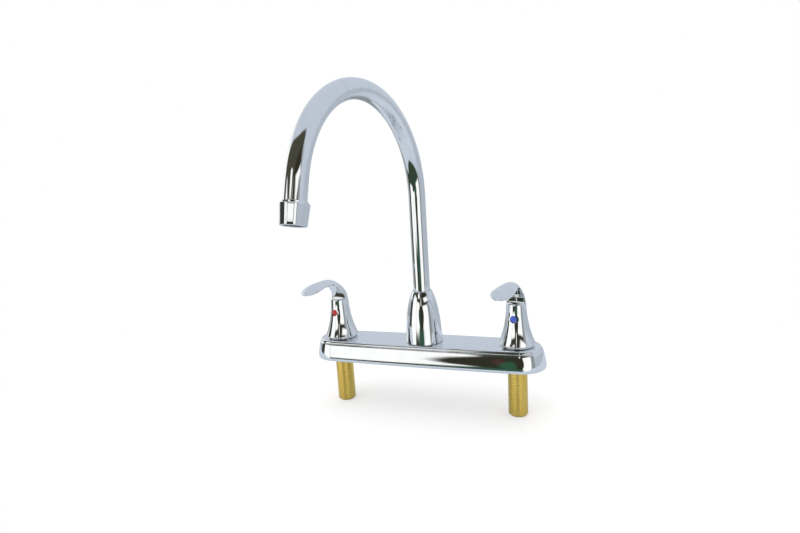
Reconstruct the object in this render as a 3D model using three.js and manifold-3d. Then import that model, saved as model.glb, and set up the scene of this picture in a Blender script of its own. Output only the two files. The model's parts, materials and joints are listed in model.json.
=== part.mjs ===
// Two handle kitchen faucet on an 8 inch deck cover, with a swivelling gooseneck spout.
// Millimetres, +Z up. The origin is the middle of the deck cover's underside, on the deck.
// +X runs along the cover from the hot valve to the cold one, and -Y points at the user.
// The model is posed as it was photographed: the spout is turned a little to the left
// and each lever handle stands at its own angle.
import * as THREE from "three";
import { mergeVertices } from "three/addons/utils/BufferGeometryUtils.js";
import Module from "manifold-3d";

const wasm = await Module();
wasm.setup();

// ---------- driving dimensions ----------

const inch = 25.4;
const seatGap = 0.3; // clearance kept between pieces that touch

// Rest pose, as seen from above: 270 degrees points straight at the user.
const spoutAzimuth = 260.4;
const handleAzimuth = { hot: 256.5, cold: 259.5 };

// Deck: the two valves stand on 8 inch centres.
const valveSpacing = 8 * inch;

// Deck cover: a pressed shell with domed sides and a flat top.
const coverLength = 263.2;
const coverEndRadius = 26.8;
const coverSideBow = 1.3; // how far each long side swells at its middle
const coverHeight = 22.5;
const coverEdge = 3.5; // height of the rolled step round the flat top
const coverWall = 1.8;
const coverHoleClearance = 0.4;

// Base plate: the moulded plate that closes the cover and lies on the deck.
const basePlateThickness = 3;
const baseRimHeight = 3;
const baseRimWall = 2;

// Waterway: two valve bodies joined to the spout post by straight tubes.
const waterwayHeight = 12.5; // level of the crossover tubes
const crossoverRadius = 4.75;
const crossoverWall = 1.2;
const bossRadius = 6.6;
const bossReach = 18; // from a post's axis to the mouth of its side boss
const socketDepth = 4;
const bodyRadius = 13;
const flangeRadius = 15;
const flangeThickness = 2.5;
const neckRadius = 12.2;
const neckProud = 0.7; // how far a valve's neck stands above its cover nut
const cartridgeBore = 9;
const cartridgeFloor = 8.4;
const inletRadius = 4;

// Shanks: half inch pipe tails that hang through the deck.
const shankRadius = 10.28;
const shankBore = 6.5;
const shankBottom = -55.2;
const shankChamfer = 1.2;
const shankSpigotRadius = 8;
const shankSpigotHeight = 3.9;
const shankSeatWidth = 1.5; // the cone that a supply line's nose seals in
const shankSeatDepth = 3;
const shankNeckHeight = 4.2; // plain band left above the thread
const shankNeckDepth = 0.35;

// Cartridges: quarter turn ceramic discs in a brass shell.
const shellWall = 2.5;
const shellHexRadius = 11.2;
const shellHexHeight = 4.2;
const windowHeight = 7;
const windowWidth = 6;
const sealHeight = 2.2;
const sealBore = 3.6;
const discThickness = 2.7;
const portRadius = 1.5;
const portOffset = 3.3;
const stemRadius = 4;
const stemFlangeHeight = 3.2;
const stemGrooveRadius = 2.6;
const stemRingSection = 1.2;
const stemRingLift = 3; // from the roof of the shell's chamber up to the ring's groove
const clipThickness = 0.8;
const clipDepth = 0.8;
const clipRadius = 6.5;
const clipMouth = 4;
const splineTeeth = 16;
const splineRadius = 4.25;
const splineToothDepth = 0.5;

// Cover nuts: hexagons that hold the cover down under the handles.
const coverNutRadius = 15.2;
const coverNutHeight = 4;

// Handles: a bell with a hooked lever, cast in one piece.
const rimLift = 2.35; // running gap between the cover's top and the handle's rim
const rimRadius = 18.8;
const rimBand = 2.4; // height of the upright band at the rim
const bellHeight = 44.65; // from the rim to the rounded shoulder's top
const bellNeckRadius = 10.2;
const bellWall = 1.9;
const shoulderRound = 2.4;
const bossOuterRadius = 7.2;
const bossLift = 1.1; // gap between the stem's clip and the splined boss over it
const leverHoodRise = 23.5; // from the bell's shoulder to the lever's crown above it
const leverTipReach = 58.7;
const leverTipDrop = 6.8; // from the crown down to the tip
const leverWidth = 23.2;
const leverTipRound = 10; // length over which the paddle's end is rounded
const leverThickness = 2.8;
const leverRim = 1.6; // thickness of the lever's edges
const leverNeckDepth = 13.5; // from the neck's back to the floor of its hollow front
const leverNeckRim = 4; // thickness of the neck's arms beside the hollow

// Index buttons, each over the set screw that holds its handle on the stem.
const buttonLift = 28.25; // from the handle's rim up to the button's middle
const buttonRadius = 3.5;
const buttonSeat = 9.3; // distance of the button's seat from the handle's axis
const buttonCrown = 11.8;
const screwRadius = 2.4;
const screwLength = 4.6;
const screwSocketRadius = 1.2;
const splineCover = 3.85; // from the set screw's middle up to the stem's top

// Spout post, shroud and the turning joint inside them.
const postRadius = 14;
const postFlangeRadius = 17;
const postNeckRadius = 12;
const postNeckHeight = 21.8; // from the cover's top to the top of the threaded neck
const postBore = 8.8;
const postFloor = 8;
const shroudFootRadius = 21;
const shroudHeight = 57.2;
const shroudMouthRadius = 10.6;
const shroudSkirt = 6.2; // height of the hollow foot under the shroud's thread

// Spout: a drawn tube bent to a gooseneck.
const tubeRadius = 9;
const tubeWall = 1.4;
const bendRadius = 97.8;
const bendStart = 182.8; // height where the upright leg turns into the bend
const bendAngle = 166;
const outletStraight = 17.7; // straight length between the bend and the aerator's top
const outletInsert = 5; // length of tube hidden inside the aerator

// Spout adapter: brass sleeve brazed in the tube, turning in the post.
const adapterLift = 9; // open space between the post's floor and the adapter's end
const adapterBore = 5.4;
const adapterGrooveDepth = 1.6;
const adapterRingLifts = { lower: 5, upper: 14 }; // from the adapter's end
const splitRingThickness = 1.8;
const splitRingRadius = 10.6;
const splitRingMouth = 5;
const splitRingSeatDepth = 1.5; // how far the ring reaches into the adapter's side
const adapterShoulderHeight = 2.2;
const adapterPlugLength = 12;

// Aerator: a ten sided skirt screwed over the tube's end collar.
const aeratorSides = 10;
const aeratorTurn = 8.6; // degrees from the spout's own plane to the nearest edge of the skirt
const aeratorTopRadius = 11.7;
const aeratorOutletRadius = 10.5;
const aeratorLength = 16.3;
const aeratorRound = 0.5; // the skirt is drawn in by this at both ends
const aeratorEdgeBevel = 0.75;
const aeratorLip = 7.8;
const aeratorLipHeight = 1.7;
const collarRadius = 10.1;
const collarLedge = 7.6;
const collarLedgeHeight = 0.8;
const collarBead = 1.6; // part of the collar that shows above the aerator
const threadGap = 0.1; // clearance of the skirt's bore round the collar
const washerHeight = 1.6;
const insertRadius = 9;
const jetCount = 8;
const jetRadius = 1;
const jetCircle = 5; // distance of the jets from the aerator's axis
const screenHeight = 1.2;
const screenPitch = 3.1;
const screenHole = 2.4;

// How many flats stand for a circle: on the skin, on inner pieces and on small ones.
const skinSides = 24;
const tubeSides = 18;
const innerSides = 12;
const smallSides = 10;

const fullTurn = 2 * Math.PI;
const radians = THREE.MathUtils.degToRad;

// ---------- solids ----------

// Keeps only the shape: merges shared vertices, drops flat triangles, turns faces outwards.
function closed(geometry) {
  geometry.deleteAttribute("normal");
  geometry.deleteAttribute("uv");
  const merged = mergeVertices(geometry, 1e-4);
  const index = merged.index.array;
  const kept = [];
  for (let i = 0; i < index.length; i += 3) {
    const [a, b, c] = [index[i], index[i + 1], index[i + 2]];
    if (a !== b && b !== c && c !== a) kept.push(a, b, c);
  }
  const place = merged.attributes.position;
  const [p, q, r] = [new THREE.Vector3(), new THREE.Vector3(), new THREE.Vector3()];
  let volume = 0;
  for (let i = 0; i < kept.length; i += 3) {
    p.fromBufferAttribute(place, kept[i]);
    q.fromBufferAttribute(place, kept[i + 1]);
    r.fromBufferAttribute(place, kept[i + 2]);
    volume += p.dot(q.cross(r));
  }
  if (volume < 0) kept.reverse();
  merged.setIndex(kept);
  return merged;
}

function toSolid(geometry) {
  const shape = closed(geometry);
  const vertProperties = Float32Array.from(shape.attributes.position.array);
  const triVerts = Uint32Array.from(shape.index.array);
  return new wasm.Manifold(new wasm.Mesh({ numProp: 3, vertProperties, triVerts }));
}

function toGeometry(solid) {
  const { vertProperties, triVerts } = solid.getMesh();
  return new THREE.BufferGeometry()
    .setAttribute("position", new THREE.BufferAttribute(vertProperties, 3))
    .setIndex(new THREE.BufferAttribute(triVerts, 1));
}

// Joins the first geometries and cuts the others out of them.
function carve(joined, cutters = []) {
  let solid = toSolid(joined[0]);
  for (const piece of joined.slice(1)) solid = solid.add(toSolid(piece));
  for (const cutter of cutters) solid = solid.subtract(toSolid(cutter));
  return toGeometry(solid);
}

// A profile of [radius, height] points, turned about the Z axis.
function turned(profile, sides) {
  const points = profile.map(([radius, height]) => new THREE.Vector2(radius, height));
  const open = points[0].x > 0 || points.at(-1).x > 0;
  if (open) points.push(points[0].clone());
  return new THREE.LatheGeometry(points, sides).rotateX(Math.PI / 2);
}

function upright(radius, bottom, top, sides) {
  const length = top - bottom;
  const shape = new THREE.CylinderGeometry(radius, radius, length, sides);
  return shape.rotateX(Math.PI / 2).translate(0, 0, (bottom + top) / 2);
}

// A cylinder lying along +X at a given height, from one distance to another.
function lying(radius, from, to, height, sides) {
  const shape = new THREE.CylinderGeometry(radius, radius, to - from, sides);
  return shape.rotateZ(-Math.PI / 2).translate((from + to) / 2, 0, height);
}

// A hole's flats stand clear of a round pin of its radius.
const flatsAround = (radius, sides) => radius / Math.cos(Math.PI / sides);

function bore(radius, bottom, top, sides) {
  return upright(flatsAround(radius, sides), bottom, top, sides);
}

function crossBore(radius, from, to, height, sides) {
  return lying(flatsAround(radius, sides), from, to, height, sides);
}

// An outline of [x, y] points raised from one height to another.
function raised(outline, bottom, top) {
  const shape = new THREE.Shape(outline.map(([x, y]) => new THREE.Vector2(x, y)));
  const options = { depth: top - bottom, bevelEnabled: false };
  return new THREE.ExtrudeGeometry(shape, options).translate(0, 0, bottom);
}

function polygon(sides, radius, turn = 0) {
  return Array.from({ length: sides }, (_, i) => {
    const angle = turn + (i / sides) * fullTurn;
    return [radius * Math.cos(angle), radius * Math.sin(angle)];
  });
}

// A closed skin through equal rings of [x, y, z] points, with flat ends.
function lofted(rings) {
  const count = rings[0].length;
  const index = [];
  for (let i = 0; i + 1 < rings.length; i++)
    for (let j = 0; j < count; j++) {
      const next = (j + 1) % count;
      const [a, b] = [i * count + j, i * count + next];
      index.push(a, b, b + count, a, b + count, a + count);
    }
  const last = (rings.length - 1) * count;
  for (let j = 1; j + 1 < count; j++) {
    index.push(0, j + 1, j);
    index.push(last, last + j, last + j + 1);
  }
  const position = new THREE.Float32BufferAttribute(rings.flat(2), 3);
  return new THREE.BufferGeometry().setAttribute("position", position).setIndex(index);
}

// A sheet between two equal grids of [x, y, z] points that share their edges or not.
function slab(outer, inner) {
  const [rows, columns] = [outer.length, outer[0].length];
  const index = [];
  const at = (side, i, j) => side * rows * columns + i * columns + j;
  const quad = (a, b, c, d) => index.push(a, b, c, a, c, d);
  for (let i = 0; i + 1 < rows; i++) {
    for (let j = 0; j + 1 < columns; j++) {
      quad(at(0, i, j), at(0, i, j + 1), at(0, i + 1, j + 1), at(0, i + 1, j));
      quad(at(1, i, j), at(1, i + 1, j), at(1, i + 1, j + 1), at(1, i, j + 1));
    }
    const end = columns - 1;
    quad(at(0, i, 0), at(0, i + 1, 0), at(1, i + 1, 0), at(1, i, 0));
    quad(at(0, i, end), at(1, i, end), at(1, i + 1, end), at(0, i + 1, end));
  }
  for (let j = 0; j + 1 < columns; j++) {
    const end = rows - 1;
    quad(at(0, 0, j), at(1, 0, j), at(1, 0, j + 1), at(0, 0, j + 1));
    quad(at(0, end, j), at(0, end, j + 1), at(1, end, j + 1), at(1, end, j));
  }
  const points = [...outer.flat(), ...inner.flat()].flat();
  const position = new THREE.Float32BufferAttribute(points, 3);
  return new THREE.BufferGeometry().setAttribute("position", position).setIndex(index);
}

// ---------- finishes ----------

const finish = (color, roughness, metalness) => ({ color, roughness, metalness });
const finishes = {
  chrome: finish(0xd9dce2, 0.08, 1),
  brass: finish(0xc9a24a, 0.35, 1),
  castBrass: finish(0xb08d3c, 0.5, 1),
  copper: finish(0xb87046, 0.35, 1),
  steel: finish(0xb4b6b8, 0.3, 1),
  blackPlastic: finish(0x1c1d1f, 0.6, 0),
  whitePlastic: finish(0xe9e8e2, 0.5, 0),
  ceramic: finish(0xf1eee6, 0.25, 0),
  rubber: finish(0x17181a, 0.85, 0),
  red: finish(0xc8241c, 0.3, 0),
  blue: finish(0x3c55d8, 0.3, 0),
};

const faucet = new THREE.Group();

function add(name, look, geometry, parent = faucet) {
  const mesh = new THREE.Mesh(geometry, new THREE.MeshStandardMaterial(finishes[look]));
  mesh.name = name;
  parent.add(mesh);
}

// ---------- deck cover and base plate ----------

// The cover's outline pulled in by a distance: bowed long sides and round ends.
function coverOutline(inset) {
  const endSteps = 10;
  const sideSteps = 5;
  const endCentre = coverLength / 2 - coverEndRadius;
  const slope = (2 * coverSideBow) / endCentre;
  const tilt = Math.atan(slope);
  const points = [];
  for (const side of [1, -1]) {
    for (let i = 0; i <= endSteps; i++) {
      const angle = (i / endSteps - 0.5) * (Math.PI - 2 * tilt);
      const radius = coverEndRadius - inset;
      const x = endCentre + radius * Math.cos(angle);
      points.push([side * x, side * radius * Math.sin(angle)]);
    }
    for (let i = 1; i < sideSteps; i++) {
      const along = 1 - (2 * i) / sideSteps;
      const swell = coverSideBow * (1 - along * along);
      points.push([side * endCentre * along, side * (coverEndRadius + swell - inset)]);
    }
  }
  return points;
}

// How far the cover's skin stands in from its widest line, from the foot to the flat top.
const coverSection = [
  [1.2, seatGap],
  [0.2, 1.2],
  [0, 3],
  [0.7, 0.38 * coverHeight],
  [1.9, 0.62 * coverHeight],
  [3.4, coverHeight - coverEdge],
  [4.1, coverHeight - coverEdge + 0.5],
  [4.5, coverHeight - coverEdge / 2 + 0.15],
  [5.4, coverHeight - 0.4],
  [7, coverHeight],
];
const coverRoof = coverHeight - coverWall;

function coverRings(section) {
  return section.map(([inset, height]) =>
    coverOutline(inset).map(([x, y]) => [x, y, height]),
  );
}

function deckCover() {
  const hollow = [
    [coverWall, -1],
    [coverWall, basePlateThickness + baseRimHeight + seatGap],
    [coverWall + 1.9, 0.62 * coverHeight],
    [coverWall + 4.6, coverRoof - 1.2],
    [coverWall + 6, coverRoof],
  ];
  const valveHole = neckRadius + coverHoleClearance;
  const postHole = postNeckRadius + coverHoleClearance;
  const holes = [
    [-valveSpacing / 2, valveHole],
    [0, postHole],
    [valveSpacing / 2, valveHole],
  ].map(([x, radius]) => {
    return bore(radius, coverRoof - 1, coverHeight + 1, innerSides).translate(x, 0, 0);
  });
  return carve([lofted(coverRings(coverSection))], [lofted(coverRings(hollow)), ...holes]);
}

function basePlate() {
  const edge = coverWall + seatGap;
  const rimTop = basePlateThickness + baseRimHeight;
  const blank = raised(coverOutline(edge), 0, rimTop);
  const tray = raised(coverOutline(edge + baseRimWall), basePlateThickness, rimTop + 1);
  const holes = [-1, 1].map((side) => {
    const hole = bore(shankRadius + seatGap, -1, basePlateThickness + 1, innerSides);
    return hole.translate((side * valveSpacing) / 2, 0, 0);
  });
  return carve([blank], [tray, ...holes]);
}

// ---------- waterway ----------

const bodyFoot = basePlateThickness + seatGap;
const bodyShoulder = coverRoof - seatGap;
const coverNutFoot = coverHeight + seatGap;
const neckTop = coverNutFoot + coverNutHeight + neckProud;
const postTop = coverHeight + postNeckHeight;

// The side boss of a valve body or of the spout post, its tube socket and its passage.
function boss(direction) {
  const turn = direction > 0 ? 0 : Math.PI;
  const mouth = bossReach - socketDepth;
  return {
    body: lying(bossRadius, bodyRadius - 3, bossReach, waterwayHeight, smallSides)
      .rotateZ(turn),
    socket: crossBore(crossoverRadius + seatGap, mouth, bossReach + 1, waterwayHeight, smallSides)
      .rotateZ(turn),
    passage: crossBore(crossoverRadius - crossoverWall, 4, mouth + 1, waterwayHeight, 8)
      .rotateZ(turn),
  };
}

function valveBody(side) {
  const socket = shankSpigotRadius + seatGap;
  const socketTop = bodyFoot + shankSpigotHeight;
  const outside = [
    [0, bodyFoot],
    [flangeRadius, bodyFoot],
    [flangeRadius, bodyFoot + flangeThickness],
    [bodyRadius, bodyFoot + flangeThickness],
    [bodyRadius, bodyShoulder],
    [neckRadius, bodyShoulder],
    [neckRadius, neckTop - 0.8],
    [neckRadius - 0.8, neckTop],
    [0, neckTop],
  ];
  const towardsPost = boss(-side);
  const cuts = [
    bore(cartridgeBore, cartridgeFloor, neckTop + 1, innerSides),
    bore(inletRadius, bodyFoot - 1, cartridgeFloor + 1, 8),
    bore(socket, bodyFoot - 1, socketTop, innerSides),
    towardsPost.socket,
    towardsPost.passage,
  ];
  return carve([turned(outside, innerSides), towardsPost.body], cuts);
}

function spoutPost() {
  const outside = [
    [0, bodyFoot],
    [postFlangeRadius, bodyFoot],
    [postFlangeRadius, bodyFoot + flangeThickness],
    [postRadius, bodyFoot + flangeThickness],
    [postRadius, bodyShoulder],
    [postNeckRadius, bodyShoulder],
    [postNeckRadius, postTop - 0.8],
    [postNeckRadius - 0.8, postTop],
    [0, postTop],
  ];
  const sides = [boss(1), boss(-1)];
  const cuts = [bore(postBore, postFloor, postTop + 1, innerSides)];
  for (const { socket, passage } of sides) cuts.push(socket, passage);
  return carve([turned(outside, innerSides), ...sides.map(({ body }) => body)], cuts);
}

function crossoverTube() {
  const start = bossReach - socketDepth + seatGap;
  const end = valveSpacing / 2 - start;
  const passage = crossoverRadius - crossoverWall;
  const outside = lying(crossoverRadius, start, end, waterwayHeight, innerSides);
  const inside = lying(passage, start - 1, end + 1, waterwayHeight, smallSides);
  return carve([outside], [inside]);
}

function shank() {
  const shoulder = bodyFoot - seatGap;
  const neck = shoulder - shankNeckHeight;
  return turned(
    [
      [shankBore + shankSeatWidth, shankBottom],
      [shankRadius - shankChamfer, shankBottom],
      [shankRadius, shankBottom + shankChamfer],
      [shankRadius, neck],
      [shankRadius - shankNeckDepth, neck + shankNeckDepth],
      [shankRadius - shankNeckDepth, shoulder],
      [shankSpigotRadius, shoulder],
      [shankSpigotRadius, bodyFoot + shankSpigotHeight - seatGap],
      [shankBore, bodyFoot + shankSpigotHeight - seatGap],
      [shankBore, shankBottom + shankSeatDepth],
    ],
    tubeSides,
  );
}

// ---------- ceramic disc cartridge ----------

const shellRadius = cartridgeBore - seatGap;
const shellBore = shellRadius - shellWall;
const shellFoot = cartridgeFloor + seatGap;
const hexFoot = neckTop + seatGap;
const hexTop = hexFoot + shellHexHeight;
const stemBore = stemRadius + seatGap;
const discRadius = shellBore - seatGap;
const fixedDiscFoot = shellFoot + sealHeight + seatGap;
const movingDiscFoot = fixedDiscFoot + discThickness + seatGap;
const stemFoot = movingDiscFoot + discThickness + seatGap;
const shellRoof = stemFoot + stemFlangeHeight + 2 * seatGap;
const stemRingHeight = shellRoof + stemRingLift;
const clipFoot = hexTop + seatGap;
const splineFoot = clipFoot + clipThickness + bossLift;
const rimHeight = coverHeight + rimLift;
const buttonHeight = rimHeight + buttonLift;
const stemTop = buttonHeight + splineCover;

function cartridgeShell() {
  const barrel = turned(
    [
      [shellBore, shellFoot],
      [shellRadius, shellFoot],
      [shellRadius, hexFoot + 1],
      [stemBore, hexFoot + 1],
      [stemBore, shellRoof],
      [shellBore, shellRoof],
    ],
    innerSides,
  );
  const hex = raised(polygon(6, shellHexRadius), hexFoot, hexTop);
  const stemHole = bore(stemBore, hexFoot - 0.5, hexTop + 1, innerSides);
  const window = new THREE.BoxGeometry(3 * shellRadius, windowWidth, windowHeight);
  window.translate(0, 0, stemFoot + 1.8 - windowHeight / 2);
  return carve([barrel, hex], [stemHole, window]);
}

function seatSeal() {
  const foot = shellFoot;
  return turned(
    [
      [sealBore, foot],
      [discRadius, foot],
      [discRadius, foot + sealHeight],
      [sealBore, foot + sealHeight],
    ],
    innerSides,
  );
}

// The fixed disc has two round ports, the moving one is cut away on both sides.
function fixedDisc() {
  const top = fixedDiscFoot + discThickness;
  const ports = [-1, 1].map((side) => {
    const port = bore(portRadius, fixedDiscFoot - 1, top + 1, 8);
    return port.translate(side * portOffset, 0, 0);
  });
  return carve([upright(discRadius, fixedDiscFoot, top, innerSides)], ports);
}

function movingDisc() {
  const top = movingDiscFoot + discThickness;
  const notches = [-1, 1].map((side) => {
    const notch = bore(portRadius * 1.6, movingDiscFoot - 1, top + 1, 8);
    return notch.translate(0, side * (discRadius - portRadius), 0);
  });
  return carve([upright(discRadius, movingDiscFoot, top, innerSides)], notches);
}

const ringGrooveHeight = stemRingSection + 2 * seatGap;
const clipGroove = stemRadius - clipDepth;

function stem() {
  const flangeTop = stemFoot + stemFlangeHeight;
  const grooveTop = stemRingHeight + ringGrooveHeight;
  const clipTop = clipFoot + clipThickness + seatGap;
  const shaft = turned(
    [
      [0, stemFoot],
      [shellBore - seatGap, stemFoot],
      [shellBore - seatGap, flangeTop],
      [stemRadius, flangeTop + 0.3],
      [stemRadius, stemRingHeight],
      [stemGrooveRadius, stemRingHeight],
      [stemGrooveRadius, grooveTop],
      [stemRadius, grooveTop],
      [stemRadius, clipFoot - seatGap],
      [clipGroove, clipFoot - seatGap],
      [clipGroove, clipTop],
      [stemRadius - splineToothDepth, clipTop],
      [stemRadius - splineToothDepth, stemTop - 1],
      [0, stemTop - 1],
    ],
    smallSides,
  );
  const outline = polygon(2 * splineTeeth, 1).map(([x, y], i) => {
    const radius = splineRadius - (i % 2) * splineToothDepth;
    return [x * radius, y * radius];
  });
  return carve([shaft, raised(outline, splineFoot, stemTop)]);
}

function stemRing() {
  const middle = stemGrooveRadius + seatGap + stemRingSection / 2;
  return ring(middle, stemRingSection / 2, stemRingHeight + ringGrooveHeight / 2, smallSides, 6);
}

// A round section ring about the Z axis.
function ring(middle, section, height, sides, sectionSides) {
  const profile = polygon(sectionSides, section).map(([x, y]) => [middle + x, height + y]);
  return turned(profile, sides);
}

// A flat spring ring with a mouth cut through one side.
function openRing(innerRadius, radius, foot, thickness, mouth) {
  const washer = turned(
    [
      [innerRadius, foot],
      [radius, foot],
      [radius, foot + thickness],
      [innerRadius, foot + thickness],
    ],
    innerSides,
  );
  const cut = new THREE.BoxGeometry(2 * radius, mouth, 4 * thickness);
  cut.translate(radius, 0, foot);
  return carve([washer], [cut]);
}

// Seats lower by its own height on the cover, and screws onto the valve body's neck.
function coverNut() {
  const foot = coverNutFoot;
  const thread = bore(neckRadius + seatGap, foot - 1, foot + coverNutHeight + 1, innerSides);
  const blank = raised(polygon(6, coverNutRadius), foot, foot + coverNutHeight);
  const chamfer = turned(
    [
      [0, foot - 1],
      [coverNutRadius, foot - 1],
      [coverNutRadius, foot + coverNutHeight - 1],
      [coverNutRadius - 1.8, foot + coverNutHeight + 0.4],
      [0, foot + coverNutHeight + 0.4],
    ],
    innerSides,
  );
  return toGeometry(toSolid(blank).intersect(toSolid(chamfer)).subtract(toSolid(thread)));
}

// ---------- lever handles ----------

const bellTop = rimHeight + bellHeight;

// The bell's radius falls from its rim's to its neck's, fast at first and then ever slower.
function bellRadius(height) {
  const share = (height - rimHeight - rimBand) / (bellHeight - rimBand);
  return bellNeckRadius + (rimRadius - bellNeckRadius) * (1 - Math.max(0, share)) ** 2.1;
}

function bell() {
  const shoulder = bellTop - shoulderRound;
  const levels = (from, to, steps) =>
    Array.from({ length: steps + 1 }, (_, i) => THREE.MathUtils.lerp(from, to, i / steps));
  const outside = [
    [rimRadius - 0.6, rimHeight],
    [rimRadius, rimHeight + 0.7],
    ...levels(rimHeight + rimBand, shoulder, 7).map((height) => [bellRadius(height), height]),
    [bellNeckRadius - 0.3 * shoulderRound, bellTop - 0.3 * shoulderRound],
    [bellNeckRadius - shoulderRound, bellTop],
    [0, bellTop],
  ];
  const inside = [
    [0, splineFoot],
    [bossOuterRadius, splineFoot],
    ...levels(stemTop, rimHeight, 4).map((height) => [
      Math.max(bellRadius(height) - bellWall, bossOuterRadius + 0.9),
      height,
    ]),
  ];
  return turned([...inside, ...outside], skinSides);
}

// The lever starts as a neck as wide as the bell, hollowed in front. Over the top it opens
// into a hood, and towards the tip it flattens into a broad paddle with a round end.
// Its crown line lies in the handle's middle plane: [forward, height] points.
const hoodHeight = bellTop + leverHoodRise;
const leverCrown = [
  [0.3 - bellNeckRadius, bellTop - 0.5 * leverHoodRise],
  [0.2 - bellNeckRadius, bellTop - 0.15 * leverHoodRise],
  [-0.75 * bellNeckRadius, bellTop + 0.27 * leverHoodRise],
  [-0.12 * bellNeckRadius, bellTop + 0.62 * leverHoodRise],
  [0.23 * leverTipReach, hoodHeight],
  [0.51 * leverTipReach, hoodHeight + 0.18 * leverTipDrop],
  [0.75 * leverTipReach, hoodHeight - 0.1 * leverTipDrop],
  [leverTipReach, hoodHeight - leverTipDrop],
];

// Values along the crown line at the points above. A section is an arc with a half width and
// a wrap angle, hollowed down to a flat floor. The last list grades its depth and its edges
// from the paddle's, at 0, to the neck's, at 1.
const neckHalfWidth = bellNeckRadius - 0.3;
const leverHalfWidths = [neckHalfWidth, neckHalfWidth, neckHalfWidth - 0.2, 9, 8.4, 10];
leverHalfWidths.push(leverWidth / 2, leverWidth / 2.7);
const leverWraps = [145, 143, 126, 84, 66, 50, 37, 30].map(radians);
const leverGrades = [1, 1, 1, 0.13, 0.07, 0.03, 0, 0];

function lever() {
  const rows = 15;
  const columns = 12;
  const { lerp } = THREE.MathUtils;
  const flat = (values) => {
    const points = values.map((value, i) => new THREE.Vector3(i, value, 0));
    return new THREE.CatmullRomCurve3(points);
  };
  const crown = new THREE.CatmullRomCurve3(
    leverCrown.map(([forward, height]) => new THREE.Vector3(0, -forward, height)),
    false,
    "centripetal",
  );
  const tip = crown.getPoint(1);
  const widths = flat(leverHalfWidths);
  const wraps = flat(leverWraps);
  const grades = flat(leverGrades);
  const outer = [];
  const inner = [];
  for (let i = 0; i <= rows; i++) {
    const t = 1 - (1 - i / rows) ** 1.45; // rows gather towards the round end
    const place = crown.getPoint(t);
    const tangent = crown.getTangent(t);
    const outward = new THREE.Vector3(0, tangent.z, -tangent.y);
    const fromTip = Math.min(1, place.distanceTo(tip) / leverTipRound);
    const rounding = Math.sqrt(1 - 0.94 * (1 - fromTip) ** 2);
    const halfWidth = widths.getPoint(t).y * rounding;
    const wrap = wraps.getPoint(t).y;
    const grade = grades.getPoint(t).y;
    const depth = lerp(leverThickness, leverNeckDepth, grade);
    const radius = halfWidth / Math.sin(Math.min(wrap, Math.PI / 2));
    const innerRadius = radius - lerp(leverRim, leverNeckRim, grade);
    const floorCosine = Math.max(-1, (radius - depth) / innerRadius);
    const floorAngle = Math.min(Math.acos(floorCosine), 0.9 * wrap);
    const line = (section) =>
      Array.from({ length: columns + 1 }, (_, j) => {
        const [x, drop] = section((2 * j) / columns - 1);
        const at = place.clone().addScaledVector(outward, -drop);
        return [x, at.y, at.z];
      });
    outer.push(
      line((across) => [
        radius * Math.sin(across * wrap),
        radius - radius * Math.cos(across * wrap),
      ]),
    );
    // The floor takes the middle half of the inner line, the arms' inner faces take the rest.
    inner.push(
      line((across) => {
        const share = 2 * Math.abs(across);
        const angle = Math.sign(across) * lerp(floorAngle, wrap, Math.max(0, share - 1));
        const x = innerRadius * Math.sin(angle) * Math.min(1, share);
        return [x, radius - innerRadius * Math.cos(across ? angle : floorAngle)];
      }),
    );
  }
  return slab(outer, inner);
}

// The button and its screw are made along +X, then turned to the front under the lever.
const towardsFront = -Math.PI / 2;

function handleBody() {
  const drill = (radius, from, to) =>
    crossBore(radius, from, to, buttonHeight, innerSides).rotateZ(towardsFront);
  const pad = drill(buttonRadius + 2, bossOuterRadius - 1.5, buttonSeat + 1);
  const recess = drill(buttonRadius + seatGap, buttonSeat, buttonCrown + 6);
  const hole = drill(screwRadius + seatGap, splineRadius - 2, buttonSeat + 1);
  const splines = bore(splineRadius + seatGap, splineFoot - 1, stemTop + seatGap, innerSides);
  return carve([bell(), lever(), pad], [splines, recess, hole]);
}

function indexButton() {
  const edge = buttonCrown - 1;
  const profile = [
    [0, buttonSeat + seatGap],
    [buttonRadius, buttonSeat + seatGap],
    [buttonRadius, edge],
    [buttonRadius - 0.5, edge + 0.5],
    [buttonRadius - 1.5, edge + 0.85],
    [0, buttonCrown],
  ];
  return turned(profile, innerSides)
    .rotateY(Math.PI / 2)
    .translate(0, 0, buttonHeight)
    .rotateZ(towardsFront);
}

function setScrew() {
  const tip = splineRadius + seatGap;
  const blank = [
    [0, tip],
    [screwRadius - 0.7, tip],
    [screwRadius, tip + 0.7],
    [screwRadius, tip + screwLength],
    [0, tip + screwLength],
  ];
  const socket = raised(polygon(6, screwSocketRadius), tip + screwLength - 2, buttonSeat + 1);
  return carve([turned(blank, smallSides)], [socket])
    .rotateY(Math.PI / 2)
    .translate(0, 0, buttonHeight)
    .rotateZ(towardsFront);
}

// ---------- spout ----------

const splitRingFoot = postTop + seatGap;
const splitRingTop = splitRingFoot + splitRingThickness;
const shroudLedge = splitRingTop + seatGap;
const adapterShoulderTop = shroudLedge + adapterShoulderHeight;
const adapterFoot = postFloor + adapterLift;
const tubeFoot = adapterShoulderTop + seatGap;
const tubeBore = tubeRadius - tubeWall;
const adapterBarrel = postBore - seatGap;
const adapterGroove = adapterBarrel - adapterGrooveDepth;
const adapterRingSection = (postBore - adapterGroove) / 2 - seatGap; // half the ring's section
const splitRingSeat = adapterBarrel - splitRingSeatDepth;

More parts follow.
